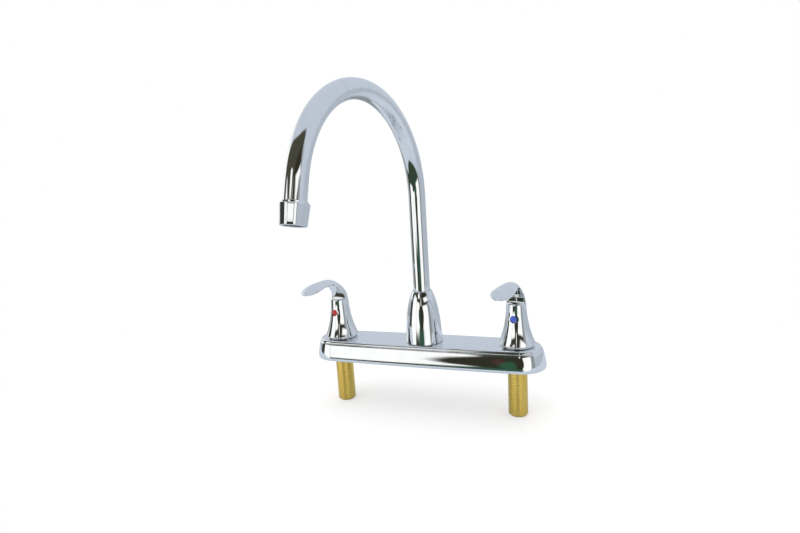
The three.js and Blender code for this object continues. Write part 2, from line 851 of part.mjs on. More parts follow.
// The shroud's side leans in evenly at first and closes as a dome near its mouth.
function spoutShroud() {
  const foot = coverHeight + seatGap;
  const top = foot + shroudHeight;
  const thread = postNeckRadius + seatGap;
  const mouth = tubeRadius + seatGap;
  const skinSteps = 10;
  const skin = Array.from({ length: skinSteps }, (_, i) => {
    const share = (i + 1) / (skinSteps + 0.1);
    const narrowing = (share + share ** 4) / 2;
    const radius = THREE.MathUtils.lerp(shroudFootRadius, shroudMouthRadius, narrowing);
    return [radius, foot + share * shroudHeight];
  });
  return turned(
    [
      [shroudFootRadius - 2.4, foot],
      [shroudFootRadius, foot],
      [shroudFootRadius, foot + 1],
      ...skin,
      [shroudMouthRadius - 0.4, top],
      [mouth, top],
      [mouth, shroudLedge],
      [splitRingRadius + seatGap, shroudLedge],
      [splitRingRadius + seatGap, splitRingFoot],
      [thread, splitRingFoot],
      [thread, foot + shroudSkirt],
      [shroudFootRadius - 3, foot + shroudSkirt - 2],
    ],
    skinSides,
  );
}

function spoutAdapter() {
  const half = adapterRingSection + seatGap;
  const grooves = [adapterRingLifts.lower, adapterRingLifts.upper].flatMap((lift) => [
    [adapterBarrel, adapterFoot + lift - half],
    [adapterGroove, adapterFoot + lift - half],
    [adapterGroove, adapterFoot + lift + half],
    [adapterBarrel, adapterFoot + lift + half],
  ]);
  const plug = tubeBore - seatGap;
  return turned(
    [
      [adapterBore, adapterFoot],
      [adapterBarrel - 0.6, adapterFoot],
      [adapterBarrel, adapterFoot + 0.6],
      ...grooves,
      [adapterBarrel, splitRingFoot - seatGap],
      [splitRingSeat, splitRingFoot - seatGap],
      [splitRingSeat, shroudLedge],
      [tubeRadius, shroudLedge],
      [tubeRadius, adapterShoulderTop],
      [plug, adapterShoulderTop],
      [plug, tubeFoot + adapterPlugLength],
      [adapterBore, tubeFoot + adapterPlugLength],
    ],
    innerSides,
  );
}

function adapterRing(lift) {
  const middle = adapterGroove + seatGap + adapterRingSection;
  return ring(middle, adapterRingSection, adapterFoot + lift, innerSides, 6);
}

function splitRing() {
  const innerRadius = splitRingSeat + seatGap;
  return openRing(innerRadius, splitRingRadius, splitRingFoot, splitRingThickness, splitRingMouth);
}

// The tube's middle line in its own plane: up, round the bend, and a short way down.
class Gooseneck extends THREE.Curve {
  static bendSteps = 24;
  static steps = Gooseneck.bendSteps + 2;

  getUtoTmapping(u) {
    return u;
  }

  bendShare(t) {
    return THREE.MathUtils.clamp((t * Gooseneck.steps - 1) / Gooseneck.bendSteps, 0, 1);
  }

  getTangent(t) {
    const angle = this.bendShare(t) * radians(bendAngle);
    return new THREE.Vector3(Math.sin(angle), 0, Math.cos(angle));
  }

  getPoint(t) {
    const angle = this.bendShare(t) * radians(bendAngle);
    const rise = Math.min(1, t * Gooseneck.steps);
    const run = Math.max(0, t * Gooseneck.steps - Gooseneck.bendSteps - 1);
    const point = new THREE.Vector3(
      bendRadius * (1 - Math.cos(angle)),
      0,
      THREE.MathUtils.lerp(tubeFoot, bendStart, rise) + bendRadius * Math.sin(angle),
    );
    return point.addScaledVector(this.getTangent(t), run * (outletStraight + outletInsert));
  }
}

const gooseneck = new Gooseneck();

function spoutTube() {
  const circle = (radius, sides) =>
    polygon(sides, radius).map(([x, y]) => new THREE.Vector2(x, y));
  const section = new THREE.Shape(circle(tubeRadius, tubeSides));
  const passage = flatsAround(tubeBore, smallSides);
  section.holes.push(new THREE.Path(circle(passage, smallSides)));
  const options = { steps: Gooseneck.steps, extrudePath: gooseneck };
  return closed(new THREE.ExtrudeGeometry(section, options));
}

// ---------- aerator, built under z = 0 and hung on the tube's end ----------

const washerTop = -(outletInsert + collarLedgeHeight + 2 * seatGap);
const jetDiscTop = washerTop - washerHeight - seatGap;
const lipTop = -aeratorLength + aeratorLipHeight;
const screenFoot = lipTop + seatGap;
const jetDiscFoot = screenFoot + screenHeight + seatGap;

function outletCollar() {
  const mouth = tubeRadius + seatGap;
  const foot = washerTop + seatGap;
  return turned(
    [
      [mouth, collarBead],
      [collarRadius - 0.4, collarBead],
      [collarRadius, collarBead - 0.4],
      [collarRadius, foot],
      [collarLedge, foot],
      [collarLedge, foot + collarLedgeHeight],
      [mouth, foot + collarLedgeHeight],
    ],
    tubeSides,
  );
}

// Each side of the skirt is a flat panel with a narrow bevel at its edges.
function aeratorHousing() {
  const section = (radius) =>
    polygon(aeratorSides, 1).flatMap(([x, y]) => {
      const corner = new THREE.Vector2(x, y).multiplyScalar(radius);
      const along = new THREE.Vector2(-y, x).multiplyScalar(aeratorEdgeBevel);
      const flatness = Math.cos(Math.PI / aeratorSides);
      return [-1, 1].map((end) => {
        const point = corner.clone().addScaledVector(along, end);
        return point.setLength(radius * (flatness + (1 - flatness) * 0.55)).toArray();
      });
    });
  const levels = [
    [aeratorTopRadius - aeratorRound, 0],
    [aeratorTopRadius, -aeratorRound],
    [(aeratorTopRadius + aeratorOutletRadius) / 2 + 0.25, -aeratorLength / 2],
    [aeratorOutletRadius, aeratorRound - aeratorLength],
    [aeratorOutletRadius - aeratorRound, -aeratorLength],
  ];
  const rings = levels.map(([radius, height]) =>
    section(radius).map(([x, y]) => [x, y, height]),
  );
  const cuts = [
    bore(collarRadius + threadGap, jetDiscTop, 1, tubeSides),
    bore(insertRadius + seatGap, lipTop, jetDiscTop + 1, innerSides),
    bore(aeratorLip, -aeratorLength - 1, lipTop + 1, tubeSides),
  ];
  return carve([lofted(rings).rotateZ(radians(aeratorTurn))], cuts);
}

function aeratorWasher() {
  return turned(
    [
      [collarLedge, washerTop - washerHeight],
      [collarRadius - seatGap, washerTop - washerHeight],
      [collarRadius - seatGap, washerTop],
      [collarLedge, washerTop],
    ],
    innerSides,
  );
}

function jetDisc() {
  const jets = polygon(jetCount, jetCircle).map(([x, y]) => {
    const jet = bore(jetRadius, jetDiscFoot - 1, jetDiscTop + 1, 6);
    return jet.translate(x, y, 0);
  });
  return carve([upright(insertRadius, jetDiscFoot, jetDiscTop, innerSides)], jets);
}

function aeratorScreen() {
  const bars = [-2, -1, 0, 1, 2];
  const holes = bars.flatMap((column) =>
    bars
      .filter((row) => Math.hypot(row, column) * screenPitch < insertRadius - screenHole)
      .map((row) => {
        const cut = new THREE.BoxGeometry(screenHole, screenHole, 4 * screenHeight);
        return cut.translate(column * screenPitch, row * screenPitch, screenFoot);
      }),
  );
  return carve([upright(insertRadius, screenFoot, screenFoot + screenHeight, innerSides)], holes);
}

// ---------- assembly ----------

add("deck_cover", "chrome", deckCover());
add("base_plate", "blackPlastic", basePlate());
add("spout_post", "castBrass", spoutPost());
add("spout_shroud", "chrome", spoutShroud());

for (const [name, side] of [["hot", -1], ["cold", 1]]) {
  const valve = new THREE.Group();
  valve.position.x = (side * valveSpacing) / 2;
  faucet.add(valve);
  add(`valve_body_${name}`, "castBrass", valveBody(side), valve);
  add(`shank_${name}`, "brass", closed(shank()), valve);
  add(`cartridge_shell_${name}`, "brass", cartridgeShell(), valve);
  add(`seat_seal_${name}`, "rubber", closed(seatSeal()), valve);
  add(`fixed_disc_${name}`, "ceramic", fixedDisc(), valve);
  add(`cover_nut_${name}`, "brass", coverNut(), valve);

  const tube = new THREE.Group();
  tube.rotation.z = side > 0 ? 0 : Math.PI;
  faucet.add(tube);
  add(`crossover_tube_${name}`, "copper", crossoverTube(), tube);

  // The handle is modelled with its lever along -Y, so it turns by the angle from there.
  const handle = new THREE.Group();
  handle.rotation.z = radians(handleAzimuth[name] - 270);
  valve.add(handle);
  add(`handle_${name}`, "chrome", handleBody(), handle);
  add(`stem_${name}`, "brass", stem(), handle);
  add(`moving_disc_${name}`, "ceramic", movingDisc(), handle);
  add(`stem_oring_${name}`, "rubber", closed(stemRing()), handle);
  const clip = openRing(clipGroove + seatGap, clipRadius, clipFoot, clipThickness, clipMouth);
  add(`stem_clip_${name}`, "steel", clip, handle);
  add(`set_screw_${name}`, "steel", setScrew(), handle);
  add(`index_button_${name}`, name === "hot" ? "red" : "blue", closed(indexButton()), handle);
}

const spout = new THREE.Group();
spout.rotation.z = radians(spoutAzimuth);
faucet.add(spout);
add("spout_tube", "chrome", spoutTube(), spout);
add("spout_adapter", "brass", closed(spoutAdapter()), spout);
add("spout_oring_lower", "rubber", closed(adapterRing(adapterRingLifts.lower)), spout);
add("spout_oring_upper", "rubber", closed(adapterRing(adapterRingLifts.upper)), spout);
add("split_ring", "whitePlastic", splitRing(), spout);

// The aerator's top lies on the tube's middle line, short of its end by the hidden length.
const outlet = new THREE.Group();
const outletWay = gooseneck.getTangent(1);
outlet.position.copy(gooseneck.getPoint(1)).addScaledVector(outletWay, -outletInsert);
outlet.rotation.y = radians(bendAngle - 180);
spout.add(outlet);
add("outlet_collar", "chrome", closed(outletCollar()), outlet);
add("aerator_housing", "chrome", aeratorHousing(), outlet);
add("aerator_washer", "rubber", closed(aeratorWasher()), outlet);
add("aerator_jet_disc", "whitePlastic", jetDisc(), outlet);
add("aerator_screen", "steel", aeratorScreen(), outlet);

export default faucet;
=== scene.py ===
import json
import math

import bmesh
import bpy
from mathutils import Matrix, Vector


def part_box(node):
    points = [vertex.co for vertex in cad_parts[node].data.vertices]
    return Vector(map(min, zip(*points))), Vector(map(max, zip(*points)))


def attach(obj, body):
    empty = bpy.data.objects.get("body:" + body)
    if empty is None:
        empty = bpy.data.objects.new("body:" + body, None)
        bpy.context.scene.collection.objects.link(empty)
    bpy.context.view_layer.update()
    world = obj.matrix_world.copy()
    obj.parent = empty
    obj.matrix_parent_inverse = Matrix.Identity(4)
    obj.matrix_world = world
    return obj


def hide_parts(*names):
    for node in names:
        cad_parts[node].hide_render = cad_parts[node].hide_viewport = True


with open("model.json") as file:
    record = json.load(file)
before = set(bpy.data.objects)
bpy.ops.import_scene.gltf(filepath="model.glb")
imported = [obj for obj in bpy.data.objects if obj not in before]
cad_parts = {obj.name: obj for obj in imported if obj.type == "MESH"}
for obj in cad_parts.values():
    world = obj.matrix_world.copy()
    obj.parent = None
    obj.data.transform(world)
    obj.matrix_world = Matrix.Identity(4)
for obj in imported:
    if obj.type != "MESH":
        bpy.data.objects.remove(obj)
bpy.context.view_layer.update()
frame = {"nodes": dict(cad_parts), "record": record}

MM = 0.001
FULL_TURN = 2 * math.pi

# ---------- sizes, in millimetres ----------

GAP = 0.3  # clearance between pieces that touch
THREAD_GAP = 0.1  # clearance of the aerator's bore round the end collar
VALVE_SPACING = 203.2
SPOUT_AZIMUTH = 260.4
HANDLE_AZIMUTH = {"hot": 256.5, "cold": 259.5}
VALVE_SIDE = {"hot": -1, "cold": 1}


def frame_width(node):
    """A node's extent along X, in millimetres."""
    low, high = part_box(node)
    return (high.x - low.x) / MM


def frame_top(node):
    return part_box(node)[1].z / MM


def frame_foot(node):
    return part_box(node)[0].z / MM


COVER_LENGTH = frame_width("deck_cover")
COVER_HEIGHT = frame_top("deck_cover")
COVER_SIDE_BOW = 1.3
COVER_END_RADIUS = 26.8
COVER_WALL = 1.8
VALVE_HOLE_RADIUS = 12.9
POST_HOLE_RADIUS = 12.7

SHANK_RADIUS = 10.28
SHANK_BORE = 6.5
SHANK_BOTTOM = frame_foot("shank_hot")
SHANK_TOP = frame_top("shank_hot")
SHANK_NECK = 4.2
SHANK_NECK_RADIUS = SHANK_RADIUS - 0.35
SHANK_SPIGOT = 8.0
SHANK_CHAMFER = 1.6
SHANK_CHAMFER_DEPTH = 1.5
COUNTERSINK_WIDENING = 1.5
COUNTERSINK_DEPTH = 3.0
THREAD_PITCH = 25.4 / 14
THREAD_DEPTH = 0.14
THREAD_RUNOUT = 0.8

RIM_HEIGHT = frame_foot("handle_hot")
RIM_RADIUS = 18.8
RIM_BAND = 0.9
RIM_FOOT = COVER_HEIGHT + GAP
# The rim draws in below its widest ring, down to the cover: each corner's inset and height.
RIM_CORNERS = [(2.0, RIM_FOOT), (1.5, RIM_FOOT), (0.55, RIM_HEIGHT - 0.7), (0.0, RIM_HEIGHT + 0.4)]
BELL_HEIGHT = 44.65
BELL_TOP = RIM_HEIGHT + BELL_HEIGHT
BELL_NECK_RADIUS = 10.2
BELL_WALL = 1.9
RIM_INNER_RADIUS = RIM_RADIUS - BELL_WALL - 0.5
BELL_FLARE = 2.1  # how strongly the bell's side curves
BELL_ROOF = 55.5
BELL_CROWN = 0.25
BELL_ROUND = 0.7
SHOULDER_ROUND = 2.4
BOSS_RADIUS = 7.2
BOSS_FILLET = 1.0
BOSS_FOOT = 34.2
SPLINE_BORE = 4.55
SPLINE_ROOF = 57.25
LEVER_HOOD_RISE = 23.5
LEVER_TIP_REACH = 58.7
LEVER_TIP_DROP = 6.8
LEVER_WIDTH = 23.2
LEVER_TIP_ROUND = 10.0
LEVER_TIP_TAPER = 0.94  # how far the round tip closes
LEVER_THICKNESS = 2.8
LEVER_RIM = 1.6
LEVER_NECK_DEPTH = 9.5
LEVER_NECK_RIM = 4.0
LEVER_GROOVE_EDGE = 0.04  # share of half a turn between the neck's groove and its sides

BUTTON_HEIGHT = RIM_HEIGHT + 28.25
BUTTON_RADIUS = 3.5
BUTTON_SEAT = 9.3
BUTTON_CROWN = 11.8
BUTTON_DOME = 1.1
BUTTON_EDGE = 0.2
BUTTON_BOSS = 2.0  # wall of the boss round the button

SHROUD_FOOT_RADIUS = frame_width("spout_shroud") / 2
SHROUD_FOOT = frame_foot("spout_shroud")
SHROUD_TOP = frame_top("spout_shroud")
SHROUD_MOUTH_RADIUS = 10.6
SHROUD_MOUTH_ROUND = 0.35
SHROUD_WALL = 2.4
SHROUD_LEDGE = 46.7  # underside of the lip that holds the split ring down
RING_POCKET_RADIUS = 10.9
RING_POCKET_FOOT = 44.6
SHROUD_BORE = 12.3
SHROUD_BORE_FOOT = 29.0
SHROUD_RECESS = 27.0

TUBE_RADIUS = 9.0
TUBE_WALL = 1.4
TUBE_FOOT = frame_foot("spout_tube")
BEND_RADIUS = 97.8
BEND_START = 182.8
BEND_ANGLE = 166.0
OUTLET_STRAIGHT = 17.7
OUTLET_INSERT = 5.0

AERATOR_SIDES = 10
AERATOR_TURN = 8.6
AERATOR_TOP_RADIUS = 11.7
AERATOR_OUTLET_RADIUS = 10.5
AERATOR_LENGTH = 16.3
AERATOR_ROUND = 0.5
AERATOR_SOFTNESS = 0.022  # share of the radius taken off each edge between two flats
AERATOR_LIP = 7.8
AERATOR_LIP_TOP = 1.7 - AERATOR_LENGTH
AERATOR_LIP_CHAMFER = 0.3
INSERT_RADIUS = 9.0
SCREEN_THICKNESS = 0.6
SCREEN_PITCH = 1.4
SCREEN_BAR = 0.45
SCREEN_RIM = 1.0
COLLAR_RADIUS = 10.1
COLLAR_BEAD = 1.6
COLLAR_ROUND = 0.5
COLLAR_LEDGE = 0.8
COLLAR_LEDGE_RADIUS = 7.6
WASHER_TOP = -(OUTLET_INSERT + COLLAR_LEDGE + 2 * GAP)
WASHER_HEIGHT = 1.6
JET_DISC_TOP = WASHER_TOP - WASHER_HEIGHT - GAP


# ---------- node graphs ----------


class Graph:
    """A node tree and short ways to add to it."""

    def __init__(self, tree):
        self.tree = tree
        tree.nodes.clear()

    def node(self, kind, inputs=(), **settings):
        made = self.tree.nodes.new(kind)
        for name, value in settings.items():
            setattr(made, name, value)
        for name, value in dict(inputs).items():
            self.put(made.inputs[name], value)
        return made

    def put(self, socket, value):
        if isinstance(value, bpy.types.NodeSocket):
            self.tree.links.new(value, socket)
        else:
            socket.default_value = value

    def math(self, operation, first, second=0.0):
        made = self.node("ShaderNodeMath", operation=operation)
        self.put(made.inputs[0], first)
        self.put(made.inputs[1], second)
        return made.outputs[0]

    def mix(self, factor, first, second):
        made = self.node("ShaderNodeMix", data_type="RGBA")
        self.put(made.inputs[0], factor)
        self.put(made.inputs[6], first)
        self.put(made.inputs[7], second)
        return made.outputs[2]

    def remap(self, value, low, high, to_low, to_high, smooth=False):
        kind = "SMOOTHSTEP" if smooth else "LINEAR"
        made = self.node("ShaderNodeMapRange", interpolation_type=kind)
        for name, given in zip(
            ("Value", "From Min", "From Max", "To Min", "To Max"),
            (value, low, high, to_low, to_high),
        ):
            self.put(made.inputs[name], given)
        return made.outputs[0]

    def noise(self, place, scale, detail, stretch=None):
        """Noise with so many waves per metre, from 0 to 1."""
        if stretch:
            mapping = self.node("ShaderNodeMapping", {"Vector": place, "Scale": stretch})
            place = mapping.outputs[0]
        made = self.node(
            "ShaderNodeTexNoise", {"Vector": place, "Scale": scale, "Detail": detail}
        )
        return made.outputs["Fac"]

    def bump(self, height, distance, under=None):
        """A relief that is so many millimetres high, over another one where that is given."""
        inputs = {"Strength": 1.0, "Distance": distance * MM, "Height": height}
        if under:
            inputs["Normal"] = under
        return self.node("ShaderNodeBump", inputs).outputs[0]

    def principled(self, color, metallic, roughness, normal):
        inputs = {
            "Base Color": color,
            "Metallic": metallic,
            "Roughness": roughness,
            "Normal": normal,
        }
        return self.node("ShaderNodeBsdfPrincipled", inputs).outputs[0]


def rgb(red, green, blue):
    return (red, green, blue, 1.0)


def grey(level):
    return rgb(level, level, level)


# ---------- materials ----------


def new_material(name):
    """An empty material and the graph that fills it."""
    material = bpy.data.materials.new(name)
    material.use_nodes = True
    return material, Graph(material.node_tree)


def surface(name, tones, roughness, metallic, patch, grain, relief, stretch=None):
    """A finish whose colour, roughness and relief all vary over the surface.

    tones are its darker and lighter colour, patch and grain the sizes in millimetres of the
    broad and the fine variation, and relief the height in millimetres of the fine one.
    """
    material, graph = new_material(name)
    place = graph.node("ShaderNodeTexCoord").outputs["Object"]
    broad = graph.noise(place, 1 / (patch * MM), 4.0, stretch)
    fine = graph.noise(place, 1 / (grain * MM), 6.0, stretch)
    broad_part = graph.math("MULTIPLY", broad, 0.65)
    both = graph.math("ADD", broad_part, graph.math("MULTIPLY", fine, 0.35))
    tone = graph.remap(both, 0.3, 0.7, 0.0, 1.0)
    color = graph.mix(tone, rgb(*tones[0]), rgb(*tones[1]))
    rough = graph.remap(both, 0.3, 0.7, roughness[0], roughness[1])
    shader = graph.principled(color, metallic, rough, graph.bump(fine, relief))
    graph.node("ShaderNodeOutputMaterial", {"Surface": shader})
    return material


def chrome(name, waviness):
    """Bright plating: clear mirrors with faint wiping marks and a trace of the casting's waves."""
    material, graph = new_material(name)
    place = graph.node("ShaderNodeTexCoord").outputs["Object"]
    waves = graph.noise(place, 45.0, 1.0)
    smears = graph.noise(place, 130.0, 5.0, (1.0, 1.0, 0.35))
    specks = graph.noise(place, 2600.0, 2.0)
    wiping = graph.remap(smears, 0.35, 0.7, 0.0, 1.0)
    color = graph.mix(wiping, rgb(0.80, 0.81, 0.83), rgb(0.755, 0.77, 0.795))
    wiped = graph.remap(smears, 0.42, 0.72, 0.015, 0.055)
    rough = graph.math("ADD", wiped, graph.remap(specks, 0.45, 0.75, 0.0, 0.03))
    relief = graph.bump(specks, 0.0006, under=graph.bump(waves, waviness))
    shader = graph.principled(color, 1.0, rough, relief)
    graph.node("ShaderNodeOutputMaterial", {"Surface": shader})
    return material


# How deep the casting's waves are under each chrome finish, in millimetres.
CHROME_WAVES = {"chrome_cover": 0.03, "chrome_tube": 0.01, "chrome_cast": 0.02}

# Darker and lighter colour, range of roughness, 1 for a metal, then patch, grain, relief and,
# for turned brass, the stretch of its marks.
FINISHES = {
    "brass_thread": (
        [(0.72, 0.47, 0.09), (0.86, 0.60, 0.15)], (0.2, 0.28), 1.0, 12, 1.4, 0.004, (1.0, 1.0, 0.3)
    ),
    "brass_cast": ([(0.42, 0.29, 0.10), (0.62, 0.45, 0.18)], (0.38, 0.6), 1.0, 7, 0.7, 0.05),
    "copper_pipe": ([(0.50, 0.23, 0.13), (0.74, 0.40, 0.26)], (0.25, 0.5), 1.0, 8, 0.9, 0.02),
    "steel_spring": ([(0.50, 0.51, 0.53), (0.66, 0.67, 0.69)], (0.2, 0.38), 1.0, 4, 0.5, 0.006),
    "black_moulding": (
        [(0.018, 0.018, 0.020), (0.042, 0.042, 0.046)], (0.42, 0.62), 0.0, 14, 0.6, 0.05
    ),
    "white_moulding": ([(0.70, 0.69, 0.64), (0.84, 0.83, 0.79)], (0.32, 0.5), 0.0, 6, 0.6, 0.02),
    "ceramic": ([(0.80, 0.78, 0.73), (0.90, 0.88, 0.85)], (0.12, 0.25), 0.0, 5, 0.4, 0.004),
    "black_rubber": (
        [(0.012, 0.012, 0.013), (0.035, 0.035, 0.037)], (0.6, 0.85), 0.0, 5, 0.4, 0.02
    ),
    "red_index": ([(0.46, 0.018, 0.012), (0.66, 0.040, 0.022)], (0.14, 0.3), 0.0, 3, 0.4, 0.008),
    "blue_index": ([(0.055, 0.10, 0.58), (0.11, 0.18, 0.80)], (0.14, 0.3), 0.0, 3, 0.4, 0.008),
}

MATERIALS = {name: chrome(name, waves) for name, waves in CHROME_WAVES.items()}
MATERIALS |= {name: surface(name, *finish) for name, finish in FINISHES.items()}

SLOTS = {subpart["node"]: subpart["material_slot"] for subpart in frame["record"]["subparts"]}

for subpart_node, material_slot in SLOTS.items():
    subpart_mesh = frame["nodes"][subpart_node].data
    subpart_mesh.materials.clear()
    subpart_mesh.materials.append(MATERIALS[material_slot])


# ---------- mesh helpers ----------


def stand(name, data):
    """A new object in the scene that shows a mesh, a lamp or a camera."""
    made = bpy.data.objects.new(name, data)
    bpy.context.scene.collection.objects.link(made)
    return made


def piece(name, body, node, verts, faces, place=Matrix.Identity(4), crease=35.0):
    """A smooth mesh, written in millimetres, that stands for one node of the frame."""
    mesh = bpy.data.meshes.new(name)
    mesh.from_pydata([(place @ Vector(v)) * MM for v in verts], [], faces)
    mesh.validate()
    made = stand(name, mesh)
    settle(made, crease)
    mesh.materials.append(MATERIALS[SLOTS[node]])
    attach(made, body)
    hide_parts(node)


def settle(made, crease):
    """Turns the faces outwards, shades them smooth and keeps the sharp edges."""
    work = bmesh.new()
    work.from_mesh(made.data)
    bmesh.ops.remove_doubles(work, verts=work.verts, dist=0.004 * MM)
    bmesh.ops.recalc_face_normals(work, faces=work.faces)
    work.to_mesh(made.data)
    work.free()
    made.data.shade_smooth()
    made.data.set_sharp_from_angle(angle=math.radians(crease))


def mesh_parts(mesh):
    """A mesh's points and faces, as a piece takes them."""
    return [tuple(v.co) for v in mesh.vertices], [tuple(p.vertices) for p in mesh.polygons]


def work_parts(work):
    """The points and faces of a mesh in the making, which ends here."""
    mesh = bpy.data.meshes.new("work")
    work.to_mesh(mesh)
    work.free()
    parts = mesh_parts(mesh)
    bpy.data.meshes.remove(mesh)
    return parts


def loop_edge(work, ring, i):
    """The edge from one point of a closed ring to the next, made if it isn't there."""
    ends = (ring[i], ring[(i + 1) % len(ring)])
    return work.edges.get(ends) or work.edges.new(ends)


def circle(radius, sides, turn=0.0):
    angles = [turn + FULL_TURN * i / sides for i in range(sides)]
    return [(radius * math.cos(angle), radius * math.sin(angle)) for angle in angles]


def level_ring(radius, height, sides, turn=0.0):
    return [(radius * x, radius * y, height) for x, y in circle(1.0, sides, turn)]


def skin(rings, closed=False, caps=True):
    """Faces between equal rings of points; closed joins the last ring to the first."""
    count = len(rings[0])
    verts = [point for ring in rings for point in ring]
    faces = []
    for i in range(len(rings) if closed else len(rings) - 1):
        low, high = i * count, (i + 1) % len(rings) * count
        for j in range(count):
            k = (j + 1) % count
            faces.append((low + j, low + k, high + k, high + j))
    if caps and not closed:
        last = (len(rings) - 1) * count
        faces.append(tuple(range(count - 1, -1, -1)))
        faces.append(tuple(range(last, last + count)))
    return verts, faces


def turned(profile, sides):
    """A profile of (radius, height) points turned about Z; it closes on itself or on the axis."""
    open_ended = profile[0][0] > 0 or profile[-1][0] > 0
    rings = [level_ring(radius, height, sides) for radius, height in profile]
    return skin(rings, closed=open_ended, caps=False)


def rounded(profile, radius, steps=5):
    """A profile with its corners rounded, except at its ends and on the axis."""
    made = [profile[0]]
    for before, corner, after in zip(profile, profile[1:], profile[2:]):
        at = Vector(corner)
        back, on = Vector(before) - at, Vector(after) - at
        reach = min(radius, 0.45 * back.length, 0.45 * on.length)
        if corner[0] <= 0 or reach < 0.02 or back.angle(on) > math.radians(172):
            made.append(corner)
            continue
        start, end = at + back.normalized() * reach, at + on.normalized() * reach
        for i in range(steps + 1):
            t = i / steps
            point = start * (1 - t) ** 2 + at * 2 * t * (1 - t) + end * t**2
            made.append((point.x, point.y))
    made.append(profile[-1])
    return made


def spread(low, high, steps):
    return [low + (high - low) * i / steps for i in range(steps + 1)]


def catmull(values, share):
    """A smooth value between evenly spaced ones, with share from 0 to 1."""
    along = min(max(share, 0.0), 1.0) * (len(values) - 1)
    i = min(int(along), len(values) - 2)
    t = along - i
    a, b, c, d = (values[min(max(k, 0), len(values) - 1)] for k in (i - 1, i, i + 1, i + 2))
    return 0.5 * (
        2 * b + (c - a) * t + (2 * a - 5 * b + 4 * c - d) * t**2 + (3 * b - a - 3 * c + d) * t**3
    )


def turn_about_z(degrees):
    return Matrix.Rotation(math.radians(degrees), 4, "Z")


def shift(x=0.0, y=0.0, z=0.0):
    return Matrix.Translation((x, y, z))


def handle_place(name):
    """A handle's own axes, with its lever along -Y, set on its valve."""
    at = shift(VALVE_SIDE[name] * VALVE_SPACING / 2)
    return at @ turn_about_z(HANDLE_AZIMUTH[name] - 270)


# ---------- deck cover ----------


def cover_outline(inset, end_steps=40, side_steps=24):
    """The cover's outline pulled in by a distance: bowed long sides and round ends."""
    end_centre = COVER_LENGTH / 2 - COVER_END_RADIUS
    tilt = math.atan(2 * COVER_SIDE_BOW / end_centre)
    points = []
    for side in (1, -1):
        for i in range(end_steps + 1):
            angle = (i / end_steps - 0.5) * (math.pi - 2 * tilt)
            radius = COVER_END_RADIUS - inset
            x = end_centre + radius * math.cos(angle)
            points.append((side * x, side * radius * math.sin(angle)))
        for i in range(1, side_steps):
            along = 1 - 2 * i / side_steps
            swell = COVER_SIDE_BOW * (1 - along**2)
            points.append((side * end_centre * along, side * (COVER_END_RADIUS + swell - inset)))
    return points


# The pressed side from the foot to the flat top, and the inside from the roof's edge to the
# foot: how far each level lies inside the outline, and its height.
COVER_SIDE = [
    (1.3, GAP),
    (0.4, GAP),
    (0.1, 0.7),
    (0.0, 1.5),
    (0.02, 2.6),
    (0.12, 4.2),
    (0.6, 7.4),
    (1.15, 10.2),
    (1.8, 13.0),
    (2.52, 15.8),
    (3.15, 18.0),
    (3.5, 18.9),
    (3.95, 19.25),
    (4.3, 19.5),
    (4.42, 20.1),
    (4.65, 20.95),
    (5.15, 21.75),
    (5.9, 22.25),
    (6.8, COVER_HEIGHT - 0.05),
    (8.0, COVER_HEIGHT),
]
COVER_INSIDE = [
    (9.0, COVER_HEIGHT - COVER_WALL),
    (7.2, COVER_HEIGHT - COVER_WALL - 0.6),
    (4.2, 14.0),
    (COVER_WALL, 6.3),
    (COVER_WALL, GAP),
]
COVER_HOLES = [
    (-VALVE_SPACING / 2, VALVE_HOLE_RADIUS),
    (0.0, POST_HOLE_RADIUS),
    (VALVE_SPACING / 2, VALVE_HOLE_RADIUS),
]


def holed_plate(work, border, height, holes):
    """Fills a border at one height round its holes, and returns the holes' rings."""
    edges = [loop_edge(work, border, i) for i in range(len(border))]
    rings = []
    for x, radius in holes:
        ring = [work.verts.new((x + a, b, height)) for a, b in circle(radius, 64)]
        rings.append(ring)
        edges += [loop_edge(work, ring, i) for i in range(len(ring))]
    bmesh.ops.triangle_fill(work, use_beauty=True, edges=edges)
    return rings


def deck_cover():
    """A pressed shell: domed sides, a rolled step round the flat top, and three holes."""
    # The wall runs from the inner roof's edge down, round the foot and up to the flat top.
    rings = [
        [(x, y, height) for x, y in cover_outline(inset)]
        for inset, height in COVER_INSIDE + COVER_SIDE
    ]
    verts, faces = skin(rings, caps=False)
    work = bmesh.new()
    points = [work.verts.new(v) for v in verts]
    for face in faces:
        work.faces.new([points[i] for i in face])
    count = len(rings[0])
    upper_rings = holed_plate(work, points[-count:], COVER_HEIGHT, COVER_HOLES)
    lower_rings = holed_plate(work, points[:count], COVER_HEIGHT - COVER_WALL, COVER_HOLES)
    for upper, lower in zip(upper_rings, lower_rings):
        for i in range(len(upper)):
            k = (i + 1) % len(upper)
            work.faces.new((upper[i], upper[k], lower[k], lower[i]))
    piece("cover_shell", "waterway", "deck_cover", *work_parts(work), crease=50.0)


# ---------- shanks ----------


def thread_radius(height, turn, foot, top):
    """The thread's radius at a height and a share of a turn: flat crests, sloped grooves."""
    from_foot = (height - foot) / SHANK_CHAMFER
    ease = min(1.0, from_foot, (top - height) / THREAD_RUNOUT + 0.001)
    lowered = SHANK_CHAMFER_DEPTH * max(0.0, 1 - from_foot)
    share = (height / THREAD_PITCH - turn) % 1.0
    groove = min(1.0, max(0.0, 1.5 - abs(share - 0.5) * 4.4))
    return SHANK_RADIUS - THREAD_DEPTH * groove * ease - lowered


